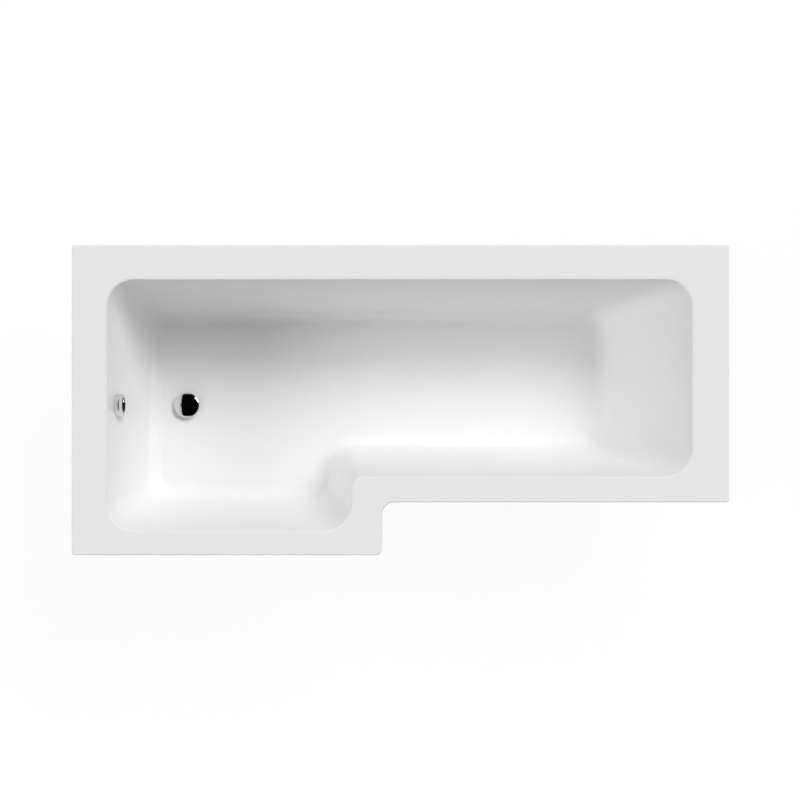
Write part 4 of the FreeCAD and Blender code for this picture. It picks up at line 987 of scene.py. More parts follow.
class BATH_OT_shell(bpy.types.Operator):
    """The white sheet: deck, turned-down lip and well in one forming"""

    bl_idname = "bath.shell"
    bl_label = "Formed sheet"

    def execute(self, context):
        shell = context.scene.bath_shell
        floor, top = shell.rim_height - shell.depth, shell.rim_height
        rings = [
            l_ring("well_floor", well_sides(shell, shell.depth), floor, face=True),
            l_ring("well_mouth", well_sides(shell, 0), top),
            l_ring("rim", rim_sides(shell), top),
            l_ring("lip", rim_sides(shell), top - shell.lip_depth),
        ]
        sheet = bridged("formed_sheet", rings)
        lean = shell.lean_front / shell.depth
        bevel_loop(sheet, shell.floor_bend, lean, 10, level_loop(sheet, floor))
        bevel_loop(sheet, shell.well_edge, lean, 6, level_loop(sheet, top, turned_down=False))
        bevel_loop(sheet, shell.rim_edge, 0, 6, level_loop(sheet, top, turned_down=True))
        change(sheet, "SOLIDIFY", thickness=shell.sheet, offset=-1, use_even_offset=True)
        bevel_loop(sheet, shell.lip_edge, 0, 2, level_loop(sheet, top - shell.lip_depth))
        drill_holes(sheet, shell, 0)
        dress(sheet, "bath", "acrylic", "bath_shell", crease=30)
        change(sheet, "WEIGHTED_NORMAL", keep_sharp=True, weight=80)
        return {"FINISHED"}


class BATH_OT_laminate(bpy.types.Operator):
    """The glass-fibre laminate rolled onto the outside of the well"""

    bl_idname = "bath.laminate"
    bl_label = "Laminate"

    def execute(self, context):
        shell = context.scene.bath_shell
        outside = shell.backing_outside
        low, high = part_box("glass_fibre_backing")
        drop = shell.depth + outside
        rings = [
            l_ring("laminate_floor", well_sides(shell, drop, outside), low.z, face=True),
            l_ring("laminate_top", well_sides(shell, shell.rim_height - high.z, outside), high.z),
        ]
        skin = bridged("rolled_laminate", rings)
        bend = shell.floor_bend + outside
        bevel_loop(skin, bend, shell.lean_front / shell.depth, 8, level_loop(skin, low.z))
        for axis in range(3):
            self.divide(skin, axis, shell.backing_grid)
        clouds = bpy.data.textures.new("rolled_resin", "CLOUDS")
        clouds.noise_scale = shell.backing_waves
        edit(skin)
        bpy.ops.mesh.normals_make_consistent(inside=False)
        leave()
        outward = -1 if self.points_in(skin) else 1
        change(skin, "DISPLACE", texture=clouds, strength=outward * shell.backing_unevenness, mid_level=1.0)
        change(skin, "SOLIDIFY", thickness=shell.backing_thickness, offset=outward * -1.0)
        drill_holes(skin, shell, PLAY)
        dress(skin, "bath", "laminate", "glass_fibre_backing", crease=50)
        return {"FINISHED"}

    def divide(self, skin, axis, spacing):
        """Cuts a grid across one axis, for the surface to wander on."""
        spots = [vertex.co[axis] for vertex in skin.data.vertices]
        low, high = min(spots), max(spots)
        count = math.floor((high - low) / spacing)
        normal = Vector((0, 0, 0))
        normal[axis] = 1
        edit(skin)
        for i in range(1, count):
            bpy.ops.mesh.select_all(action="SELECT")
            bpy.ops.mesh.bisect(plane_co=normal * (low + (high - low) * i / count), plane_no=normal)
        leave()

    def points_in(self, skin):
        """Whether the open skin's faces look into the well."""
        lowest = min(skin.data.polygons, key=lambda face: face.center.z)
        return lowest.normal.z > 0


class BATH_OT_wood(bpy.types.Operator):
    """The chipboard under the floor and the softwood strips under the deck"""

    bl_idname = "bath.wood"
    bl_label = "Board and battens"

    def execute(self, context):
        edge = context.scene.bath_legs.wood_edge
        board = block("chipboard_base", *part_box("base_board"), edge)
        dress(board, "bath", "chipboard", "base_board")
        for place in BATTENS:
            node = "rim_batten_" + place
            low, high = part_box(node)
            strip = block("softwood_strip_" + place, low, high, edge)
            lies_along = high.x - low.x > high.y - low.y
            grain = "softwood_along" if lies_along else "softwood_across"
            dress(strip, "bath", grain, node)
        return {"FINISHED"}


class BATH_OT_leg_bars(bpy.types.Operator):
    """The pressed channels across the board and the middle foot's bracket"""

    bl_idname = "bath.leg_bars"
    bl_label = "Leg bars"

    def execute(self, context):
        legs = context.scene.bath_legs
        self.bar("leg_channel_shower_end", "leg_bar_shower_end", ("shower_front", "shower_back"), legs)
        self.bar("leg_channel_rest_end", "leg_bar_rest_end", ("rest_front", "rest_back"), legs)
        self.hat(legs)
        return {"FINISHED"}

    def bar(self, name, node, feet, legs):
        """A channel that is open downwards, drilled for its studs and screws."""
        low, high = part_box(node)
        half = legs.bar_gauge / 2
        left, right, top = low.x + half, high.x - half, high.z - half
        section = [(left, low.z), (left, top), (right, top), (right, low.z)]
        points = [Vector((x, low.y, z)) for x, z in section]
        channel = pressing(name, points, legs.bar_gauge, legs.bar_bend, (0, high.y - low.y, 0))
        spots = [(middle_of("foot_stud_" + foot), legs.stud_hole) for foot in feet]
        board = middle_of("base_board")
        screw_low, screw_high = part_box("leg_bar_screws")
        inset = legs.screw_head / 2
        for y in (screw_low.y + inset, screw_high.y - inset):
            spots.append((Vector((middle_of(node).x, y, board.z)), legs.screw_hole))
        self.drill(channel, spots, top)
        dress(channel, "bath", "zinc_steel", node)

    def hat(self, legs):
        """The bracket that spaces the middle foot down from the board."""
        node = "centre_foot_bracket"
        low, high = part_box(node)
        middle = middle_of(node)
        half = legs.bar_gauge / 2
        wall = legs.hat_web / 2 - half
        top, bottom = high.z - half, low.z + half
        section = [(low.x, top), (middle.x - wall, top), (middle.x - wall, bottom)]
        section += [(middle.x + wall, bottom), (middle.x + wall, top), (high.x, top)]
        points = [Vector((x, low.y, z)) for x, z in section]
        bracket = pressing("middle_foot_hat", points, legs.bar_gauge, legs.bar_bend, (0, high.y - low.y, 0))
        flange = (low.x + middle.x - legs.hat_web / 2) / 2 - middle.x
        self.drill(bracket, [(middle, legs.stud_hole)], bottom)
        ears = [(middle + Vector((side * flange, 0, 0)), legs.screw_hole) for side in (-1, 1)]
        self.drill(bracket, ears, top)
        dress(bracket, "bath", "zinc_steel", node)

    def drill(self, piece, spots, height):
        """Round holes through the steel at a height."""
        for spot, width in spots:
            cut(piece, rod("drill", width / 2, height - PAST, height + PAST, spot.x, spot.y))


class BATH_OT_feet(bpy.types.Operator):
    """The five threaded studs in their moulded pads"""

    bl_idname = "bath.feet"
    bl_label = "Feet"

    def execute(self, context):
        legs = context.scene.bath_legs
        pad = self.pad(legs)
        for place in FEET:
            foot = "foot_" + place
            stud_node, pad_node = "foot_stud_" + place, "foot_pad_" + place
            stud = moved(self.stud(legs, stud_node, place), seat_of(stud_node))
            dress(stud, foot, "zinc_steel", stud_node)
            copy = copied(pad, "moulded_pad_" + place, seat_of(pad_node))
            dress(copy, foot, "pad_plastic", pad_node)
        bpy.data.objects.remove(pad)
        return {"FINISHED"}

    def stud(self, legs, node, place):
        """A threaded rod with chamfered ends."""
        low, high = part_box(node)
        radius, height, bevel = (high.x - low.x) / 2, high.z - low.z, legs.stud_chamfer
        rod_thread = thread("threaded_stud_" + place, radius, legs.stud_thread, legs.stud_pitch, height)
        wide = radius + legs.stud_thread
        outline = [(0, 0), (radius - bevel, 0), (wide, bevel + legs.stud_thread)]
        outline += [(wide, height - bevel - legs.stud_thread), (radius - bevel, height), (0, height)]
        return combine(rod_thread, lathe("stud_outline", outline, 48), "INTERSECT")

    def pad(self, legs):
        """A round pad: flange with grip hollows, tapered neck and a socket for the stud."""
        low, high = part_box("foot_pad_centre")
        radius, height = (high.x - low.x) / 2, high.z - low.z
        neck, flange, edge = legs.pad_neck / 2, legs.pad_flange, legs.pad_edge
        outline = [
            (0, 0),
            (radius, 0, edge),
            (radius, flange, edge),
            (neck + flange, flange, 2 * edge),
            (neck, height, edge),
            (legs.pad_socket / 2, height, edge / 3),
            (legs.pad_socket / 2, legs.pad_floor),
            (0, legs.pad_floor),
        ]
        pad = lathe("pad_moulding", outline, 72)
        return cut(pad, ring_of("pad_flutes", 12, legs.pad_flute, radius + legs.pad_flute / 2, -PAST, height))


class BATH_OT_nuts(bpy.types.Operator):
    """The ten hexagon nuts that clamp the studs"""

    bl_idname = "bath.nuts"
    bl_label = "Leg nuts"

    def execute(self, context):
        legs = context.scene.bath_legs
        bar_top, hat_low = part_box("leg_bar_rest_end")[1].z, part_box("centre_foot_bracket")[0].z
        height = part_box("leg_nuts")[1].z - bar_top
        nut = self.nut(legs, height)
        nuts = []
        for place in FEET:
            spot = middle_of("foot_stud_" + place)
            seat = hat_low + legs.bar_gauge if place == "centre" else bar_top
            for level in (seat, seat - legs.bar_gauge - height):
                nuts.append(copied(nut, f"nut_{len(nuts)}", shifted((spot.x, spot.y, level))))
        bpy.data.objects.remove(nut)
        dress(joined("hexagon_nuts", nuts), "bath", "zinc_steel", "leg_nuts")
        return {"FINISHED"}

    def nut(self, legs, height):
        """A hexagon, chamfered on both faces and bored."""
        flats = legs.nut_flats
        hexagon = rod("nut_blank", flats / math.sqrt(3), 0, height, sides=6)
        moved(hexagon, Matrix.Rotation(math.pi / 2, 4, "Z"))
        face, wide, drop = flats * 0.47, flats * 0.62, height * 0.22
        outline = [(0, 0), (face, 0), (wide, drop), (wide, height - drop), (face, height), (0, height)]
        combine(hexagon, lathe("nut_chamfer", outline), "INTERSECT")
        bore, lead = legs.nut_bore / 2, legs.nut_bore / 15
        mouth = bore + lead
        way = [(0, -PAST), (mouth + PAST, -PAST), (bore, lead), (bore, height - lead)]
        way += [(mouth + PAST, height + PAST), (0, height + PAST)]
        return cut(hexagon, lathe("nut_bore", way, 48))


class BATH_OT_screws(bpy.types.Operator):
    """The wood screws of the leg set and of the wall brackets"""

    bl_idname = "bath.screws"
    bl_label = "Wood screws"

    def execute(self, context):
        legs = context.scene.bath_legs
        low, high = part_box("leg_bar_screws")
        screw = self.screw(legs, high.z - low.z)
        self.place(screw, "leg_wood_screws", "leg_bar_screws", self.leg_spots(legs))
        self.place(screw, "bracket_wood_screws", "wall_bracket_screws", self.bracket_spots(legs))
        bpy.data.objects.remove(screw)
        return {"FINISHED"}

    def leg_spots(self, legs):
        """Two screws up through each leg bar and one through each ear of the middle foot's bracket."""
        low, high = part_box("leg_bar_screws")
        inset = legs.screw_head / 2
        hat_low, hat_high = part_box("centre_foot_bracket")
        hat = middle_of("centre_foot_bracket")
        reach = (hat_high.x - hat_low.x + legs.hat_web) / 4
        bars = [middle_of(node).x for node in ("leg_bar_shower_end", "leg_bar_rest_end")]
        spots = [(x, y) for x in bars for y in (low.y + inset, high.y - inset)]
        return spots + [(hat.x - reach, hat.y), (hat.x + reach, hat.y)]

    def bracket_spots(self, legs):
        """Two screws up through the leg of each wall bracket."""
        low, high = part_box("wall_bracket_screws")
        inset, half = legs.screw_head / 2, legs.bracket_holes / 2
        back = [middle_of(f"wall_bracket_back_{side}").x for side in ("left", "right")]
        spots = [(x + side * half, high.y - inset) for x in back for side in (-1, 1)]
        end = middle_of("wall_bracket_end").y
        return spots + [(low.x + inset, end + side * half) for side in (-1, 1)]

    def place(self, screw, name, node, spots):
        """Copies of the screw with their heads at the bottom of a node."""
        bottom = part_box(node)[0].z
        copies = [copied(screw, f"screw_{i}", shifted((x, y, bottom))) for i, (x, y) in enumerate(spots)]
        dress(joined(name, copies), "bath", "zinc_steel", node)

    def screw(self, legs, height):
        """A pan-head screw, head down: a cross in its head, a thread and a point."""
        radius, rise = legs.screw_hole / 2 - PLAY, legs.screw_head_height
        start = rise * 0.7
        shank = thread("screw", radius, legs.screw_thread, legs.screw_pitch, height - start + PAST, 16)
        moved(shank, shifted((0, 0, start)))
        wide, taper, tip = 2 * radius, 6 * radius, radius / 8
        outline = [(0, 0), (wide, 0), (wide, height - taper), (tip, height), (0, height)]
        combine(shank, lathe("screw_point", outline, 32), "INTERSECT")
        return add(shank, pan_head("screw_head", legs.screw_head / 2, rise))


class BATH_OT_wall_brackets(bpy.types.Operator):
    """The pressed brackets that hook the rim to two walls"""

    bl_idname = "bath.wall_brackets"
    bl_label = "Wall brackets"

    def execute(self, context):
        legs, shell = context.scene.bath_legs, context.scene.bath_shell
        plate = self.plate(legs, shell)
        lip = shell.rim_height - shell.lip_depth
        for side in ("left", "right"):
            node = "wall_bracket_back_" + side
            place = shifted((middle_of(node).x, shell.width / 2, lip))
            dress(copied(plate, "pressed_hook_back_" + side, place), "bath", "zinc_steel", node)
        node = "wall_bracket_end"
        place = shifted((-shell.length / 2, middle_of(node).y, lip)) @ Matrix.Rotation(math.pi / 2, 4, "Z")
        dress(copied(plate, "pressed_hook_end", place), "bath", "zinc_steel", node)
        bpy.data.objects.remove(plate)
        return {"FINISHED"}

    def plate(self, legs, shell):
        """A leg under the batten, a joggle past the lip and a face against the wall at Y 0."""
        low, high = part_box("wall_bracket_back_left")
        lip = shell.rim_height - shell.lip_depth
        half, width = legs.bracket_gauge / 2, high.x - low.x
        upright, leg = -legs.bracket_inset - half, high.z - lip - half
        joggle, far = -legs.bracket_lip_gap - half, low.y - high.y
        section = [(far, leg), (upright, leg), (upright, joggle), (-half, joggle), (-half, low.z - lip)]
        points = [Vector((-width / 2, y, z)) for y, z in section]
        plate = pressing("hook_plate", points, legs.bracket_gauge, legs.bracket_bend, (width, 0, 0))
        screw_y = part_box("wall_bracket_screws")[1].y - legs.screw_head / 2 - high.y
        for side in (-1, 1):
            x = side * legs.bracket_holes / 2
            cut(plate, rod("leg_drill", legs.screw_hole / 2, leg - PAST, leg + PAST, x, screw_y))
            drill = rod("wall_drill", legs.bracket_hole / 2, -2 * PAST, 2 * PAST)
            place = shifted((x, -half, -legs.bracket_hole_drop)) @ Matrix.Rotation(math.pi / 2, 4, "X")
            cut(plate, moved(drill, place))
        return plate


class BATH_OT_waste(bpy.types.Operator):
    """The waste's bright flange with its barrel and spider, and the soft rings round it"""

    bl_idname = "bath.waste"
    bl_label = "Waste"

    def execute(self, context):
        fit, shell = context.scene.bath_fittings, context.scene.bath_shell
        flange = add(self.flange(fit), self.spider(fit))
        dress(moved(flange, seat_of("waste_flange")), "bath", "chrome", "waste_flange")
        hole = shell.waste_hole / 2
        soft_ring("flange_washer", "waste_top_seal", hole, fit.seal_edge, "bath")
        soft_ring("tee_washer", "waste_bottom_seal", hole + PLAY, fit.seal_edge, "bath")
        return {"FINISHED"}

    def flange(self, fit):
        """A bright flange with a barrel down through the floor."""
        low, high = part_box("waste_flange")
        barrel, bore = fit.barrel / 2, barrel_bore(fit)
        rim, top = (high.x - low.x) / 2, high.z - low.z
        seat = top - fit.flange_thickness
        edge, bright = fit.turned_edge, fit.flange_edge
        outline = [
            (barrel, 0, edge),
            (barrel, seat),
            (rim, seat, edge),
            (rim, top, bright),
            (bore, top, bright),
            (bore, 0, edge),
        ]
        return lathe("bright_flange", outline, 96)

    def spider(self, fit):
        """The cross at the barrel's foot, bored for the cartridge."""
        height, arm = fit.spider_thickness, fit.spider_arm / 2
        reach = barrel_bore(fit) + fit.barrel_wall / 2
        hub = rod("spider_hub", fit.spider_ring / 2, 0, height, sides=64)
        across = block("spider_across", Vector((-reach, -arm, 0)), Vector((reach, arm, height)))
        along = block("spider_along", Vector((-arm, -reach, 0)), Vector((arm, reach, height)))
        add(hub, across, along)
        return cut(hub, rod("spider_seat", fit.cartridge / 2 + 2 * SNUG, -PAST, height + PAST, sides=64))


class BATH_OT_click_works(bpy.types.Operator):
    """The click cartridge in the spider and its spring"""

    bl_idname = "bath.click_works"
    bl_label = "Click cartridge"

    def execute(self, context):
        fit = context.scene.bath_fittings
        self.cartridge(fit)
        self.spring(fit)
        return {"FINISHED"}

    def cartridge(self, fit):
        """A turned case with a collar on the spider, a chamber and a guide for the stem."""
        low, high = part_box("click_cartridge")
        spring_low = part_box("click_spring")[0].z
        stem_low, stem_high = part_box("plug_stem")
        tube, collar, height = fit.cartridge / 2, (high.x - low.x) / 2, high.z - low.z
        chamber, guide = (stem_high.x - stem_low.x) / 2 + PLAY, fit.stem / 2 + SNUG
        floor = spring_low - PLAY - low.z
        guide_low = stem_low.z + fit.stem_collar + PLAY - low.z
        seat, edge = fit.spider_thickness, fit.turned_edge
        collar_top = seat + fit.cartridge_collar
        outline = [
            (0, 0),
            (tube, 0, 2 * edge),
            (tube, seat),
            (collar, seat, edge),
            (collar, collar_top, edge),
            (tube, collar_top),
            (tube, height, 2 * edge),
            (guide, height, edge),
            (guide, guide_low),
            (chamber, guide_low),
            (chamber, floor),
            (0, floor),
        ]
        case = moved(lathe("click_case", outline), seat_of("click_cartridge"))
        dress(case, "bath", "brass", "click_cartridge")

    def spring(self, fit):
        """A coil of round wire, at its full length."""
        low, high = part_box("click_spring")
        wire = fit.spring_wire / 2
        radius = (high.y - low.y) / 2 - wire
        rise = high.z - low.z - 2 * wire
        turns = round(rise / fit.spring_pitch)
        clear_selection()
        spot, turn = (radius, 0, wire), (math.pi / 2, 0, 0)
        bpy.ops.mesh.primitive_circle_add(vertices=12, radius=wire, location=spot, rotation=turn)
        coil = started("coil_spring")
        change(
            coil,
            "SCREW",
            axis="Z",
            screw_offset=rise / turns,
            iterations=turns,
            steps=32,
            render_steps=32,
            use_merge_vertices=False,
        )
        edit(coil)
        bpy.ops.mesh.fill_holes(sides=0)
        tidy(coil)
        spot = middle_of("click_cartridge")
        moved(coil, shifted((spot.x, spot.y, low.z)))
        dress(coil, "bath", "spring_steel", "click_spring")
        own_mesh(coil)


class BATH_OT_plug(bpy.types.Operator):
    """The bright domed plug on its stem, with its seal"""

    bl_idname = "bath.plug"
    bl_label = "Plug"

    def execute(self, context):
        fit = context.scene.bath_fittings
        self.cap(fit)
        soft_ring("plug_washer", "plug_seal", barrel_bore(fit), fit.seal_edge, "plug")
        self.stem(fit)
        return {"FINISHED"}

    def cap(self, fit):
        """A domed cap with a socket for the stem."""
        low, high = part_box("plug_cap")
        rim, edge = (high.x - low.x) / 2, fit.plug_edge
        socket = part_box("plug_stem")[1].z - low.z
        crown = fit.dome_radius - math.sqrt(fit.dome_radius**2 - rim**2)
        top = socket + crown
        arc = [rim * i / DOME_STEPS for i in range(DOME_STEPS)]
        outline = [(x, top - fit.dome_radius + math.sqrt(fit.dome_radius**2 - x * x)) for x in arc]
        outline += [
            (rim, socket, edge),
            (rim, 0, edge),
            (fit.stem / 2 + SNUG, 0),
            (fit.stem / 2 + SNUG, socket),
            (0, socket),
        ]
        cap = moved(lathe("bright_plug", outline, 128), seat_of("plug_cap"))
        dress(cap, "plug", "chrome", "plug_cap", crease=40)

    def stem(self, fit):
        """A turned stem with a collar at its foot."""
        low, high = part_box("plug_stem")
        shaft, collar = fit.stem / 2, (high.x - low.x) / 2
        height, edge = high.z - low.z, fit.turned_edge
        outline = [
            (0, 0),
            (collar, 0, edge),
            (collar, fit.stem_collar, edge),
            (shaft, fit.stem_collar),
            (shaft, height, edge),
            (0, height),
        ]
        stem = moved(lathe("turned_stem", outline, 48), seat_of("plug_stem"))
        dress(stem, "plug", "brass", "plug_stem")


class BATH_OT_tee(bpy.types.Operator):
    """The moulded body under the waste, with its side inlet and its threaded outlet"""

    bl_idname = "bath.tee"
    bl_label = "Waste tee"

    def execute(self, context):
        fit = context.scene.bath_fittings
        low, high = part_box("waste_tee")
        waste = middle_of("waste_flange")
        height, reach = high.z - low.z, waste.x - low.x
        chamber_low = height - fit.tee_drop
        seal_low, seal_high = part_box("hose_seal_lower")
        inlet_z = (seal_low.z + seal_high.z) / 2 - low.z
        sideways = shifted((0, 0, inlet_z)) @ Matrix.Rotation(-math.pi / 2, 4, "Y")
        tee = self.body(fit, (high.y - low.y) / 2, chamber_low, height)
        add(tee, moved(self.inlet(fit, reach), sideways))
        add(tee, thread("tee_outlet", fit.outlet / 2, fit.outlet_thread, fit.outlet_pitch, chamber_low, 64))
        cut(tee, self.hollow(fit, chamber_low, waste.z - low.z - PLAY, height))
        cut(tee, moved(rod("tee_side_bore", fit.tube_bore / 2, 0, reach + PAST, sides=72), sideways))
        moved(tee, shifted((waste.x, waste.y, low.z)))
        dress(tee, "bath", "white_plastic", "waste_tee")
        return {"FINISHED"}

    def body(self, fit, flange, chamber_low, height):
        """The chamber, with a flange at its top and the start of the outlet below."""
        edge, body, root = fit.mould_edge, fit.tee_body / 2, fit.outlet / 2 - fit.outlet_thread
        flange_low = height - fit.tee_flange
        outline = [
            (0, chamber_low - PAST),
            (root, chamber_low - PAST),
            (root, chamber_low),
            (body, chamber_low, 2 * edge),
            (body, flange_low, edge),
            (flange, flange_low, edge / 2),
            (flange, height, edge / 2),
            (0, height),
        ]
        return lathe("moulded_tee", outline, 96)

    def inlet(self, fit, reach):
        """The side pipe, with a collar where it leaves the chamber."""
        edge, body, tube, step = fit.mould_edge, fit.tee_body / 2, fit.tube / 2, fit.tee_collar
        collar = tube + step
        outline = [
            (0, 0),
            (collar, 0),
            (collar, body + 1.6 * step, edge),
            (tube, body + 2.4 * step, edge),
            (tube, reach, edge / 2),
            (0, reach),
        ]
        return lathe("tee_inlet", outline, 72)

    def hollow(self, fit, chamber_low, barrel_low, height):
        """The room inside: the outlet's bore, the chamber and the seat of the waste's barrel."""
        inner, floor = fit.tee_body / 2 - fit.tee_wall, chamber_low + fit.tee_wall
        bore, seat = fit.outlet_bore / 2, fit.barrel / 2 + 2 * SNUG
        outline = [
            (0, -PAST),
            (bore, -PAST),
            (bore, floor),
            (inner, floor, fit.mould_edge),
            (inner, barrel_low),
            (seat, barrel_low),
            (seat, height + PAST),
            (0, height + PAST),
        ]
        return lathe("tee_hollow", outline, 96)


class BATH_OT_overflow(bpy.types.Operator):
    """The overflow: bright cap, grid and screw on the end wall, seal and elbow behind it"""

    bl_idname = "bath.overflow"
    bl_label = "Overflow"

    def execute(self, context):
        fit, shell = context.scene.bath_fittings, context.scene.bath_shell
        wall = wall_frame(shell)
        dress(moved(self.cap(fit), wall), "bath", "chrome", "overflow_cap", crease=40)
        dress(moved(self.grid(fit), wall), "bath", "white_plastic", "overflow_grid")
        dress(moved(self.screw(fit), wall), "bath", "spring_steel", "overflow_screw")
        hole, outer = shell.overflow_hole / 2 + PLAY, fit.elbow_flange / 2 - fit.overflow_seal_inset
        thickness = fit.elbow_start - shell.backing_outside
        seal = washer("overflow_washer", outer, hole, thickness, fit.seal_edge)
        behind = wall @ shifted((0, 0, -fit.elbow_start))
        dress(moved(seal, behind), "bath", "seal_rubber", "overflow_seal")
        dress(self.elbow(fit, wall), "bath", "white_plastic", "overflow_elbow")
        return {"FINISHED"}

    def cap(self, fit):
        """A hollow drum with a rounded face and three water slots low on its side."""
        outer, top, foot = fit.cap_diameter / 2, fit.cap_depth, fit.cap_gap
        inner, ceiling = outer - fit.cap_wall, fit.cap_depth - fit.cap_wall
        outline = [
            (0, top + fit.cap_crown),
            (outer * 0.5, top + fit.cap_crown * 0.75),
            (outer, top, fit.cap_edge),
            (outer, foot, fit.turned_edge),
            (inner, foot, fit.turned_edge),
            (inner, ceiling, fit.cap_wall),
            (0, ceiling),
        ]
        cap = lathe("bright_cap", outline, 128)
        width, low = fit.slot_width / 2, fit.slot_rise
        for place in (-1, 0, 1):
            y = place * fit.slot_spacing
            near = Vector((inner / 2, y - width, low))
            far = Vector((outer + PAST, y + width, low + fit.slot_height))
            cut(cap, block("water_slot", near, far, fit.slot_edge))
        return cap

    def grid(self, fit):
        """The plate that the cap clips over, with a ring of holes."""
        outer, thick = fit.grid_diameter / 2, fit.grid_thickness
        outline = [(0, 0), (outer, 0, fit.turned_edge), (outer, thick, fit.turned_edge), (0, thick)]
        plate = lathe("clip_grid", outline, 72)
        cut(plate, ring_of("grid_drills", 6, fit.grid_hole / 2, fit.grid_circle / 2, -PAST, thick + PAST))
        return cut(plate, rod("grid_drill", fit.overflow_screw / 2 + PLAY, -PAST, thick + PAST))

    def screw(self, fit):
        """The machine screw that pulls the elbow to the grid, head in the well."""
        radius, rise = fit.overflow_screw / 2, fit.overflow_head_height
        inside = rise * 0.3
        height = fit.overflow_screw_length + inside
        shank = thread("wall_screw", radius, fit.overflow_thread, fit.overflow_pitch, height, 24)
        moved(shank, shifted((0, 0, rise - inside)))
        add(shank, pan_head("wall_screw_head", fit.overflow_head / 2, rise))
        face = fit.grid_thickness + rise
        return moved(shank, shifted((0, 0, face)) @ Matrix.Rotation(math.pi, 4, "X"))

    def elbow(self, fit, wall):
        """A cup behind the wall with a spigot down to the hose and a boss for the screw."""
        start, end = -fit.elbow_start, -fit.elbow_start - fit.elbow_depth
        flange, cup, edge = fit.elbow_flange / 2, fit.elbow_cup / 2, fit.mould_edge
        flange_back = start - fit.elbow_flange_thickness
        outline = [
            (0, end),
            (cup, end, 2 * edge),
            (cup, flange_back, edge / 2),
            (flange, flange_back, edge / 2),
            (flange, start, edge / 2),
            (0, start),
        ]
        elbow = moved(lathe("moulded_elbow", outline, 96), wall)
        spot, bottom = middle_of("hose_seal_upper"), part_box("hose_seal_upper")[1].z
        top = (wall @ Vector((0, 0, (start + end) / 2))).z
        tube, bore, drop = fit.tube / 2, fit.tube_bore / 2, top - bottom
        spigot = lathe("elbow_spigot", [(0, 0), (tube, 0, edge / 2), (tube, drop), (0, drop)], 72)
        add(elbow, moved(spigot, shifted((spot.x, spot.y, bottom))))
        floor = end + fit.elbow_wall
        hollow = [(0, floor), (cup - fit.elbow_wall, floor, edge), (cup - fit.elbow_wall, 0), (0, 0)]
        # The cutters' sides differ in number from those of the cup and the spigot, so no edges coincide
        cut(elbow, moved(lathe("elbow_hollow", hollow, 86), wall))
        cut(elbow, rod("elbow_bore", bore, bottom - PAST, top - 0.2 * drop, spot.x, spot.y, 62))
        boss, hole, tip = fit.elbow_boss / 2, fit.overflow_screw / 2 + SNUG, end + fit.elbow_boss_length
        post = [(hole, floor), (boss, floor - edge), (boss, tip, edge / 2), (hole, tip)]
        return add(elbow, moved(lathe("elbow_post", post, 48), wall))


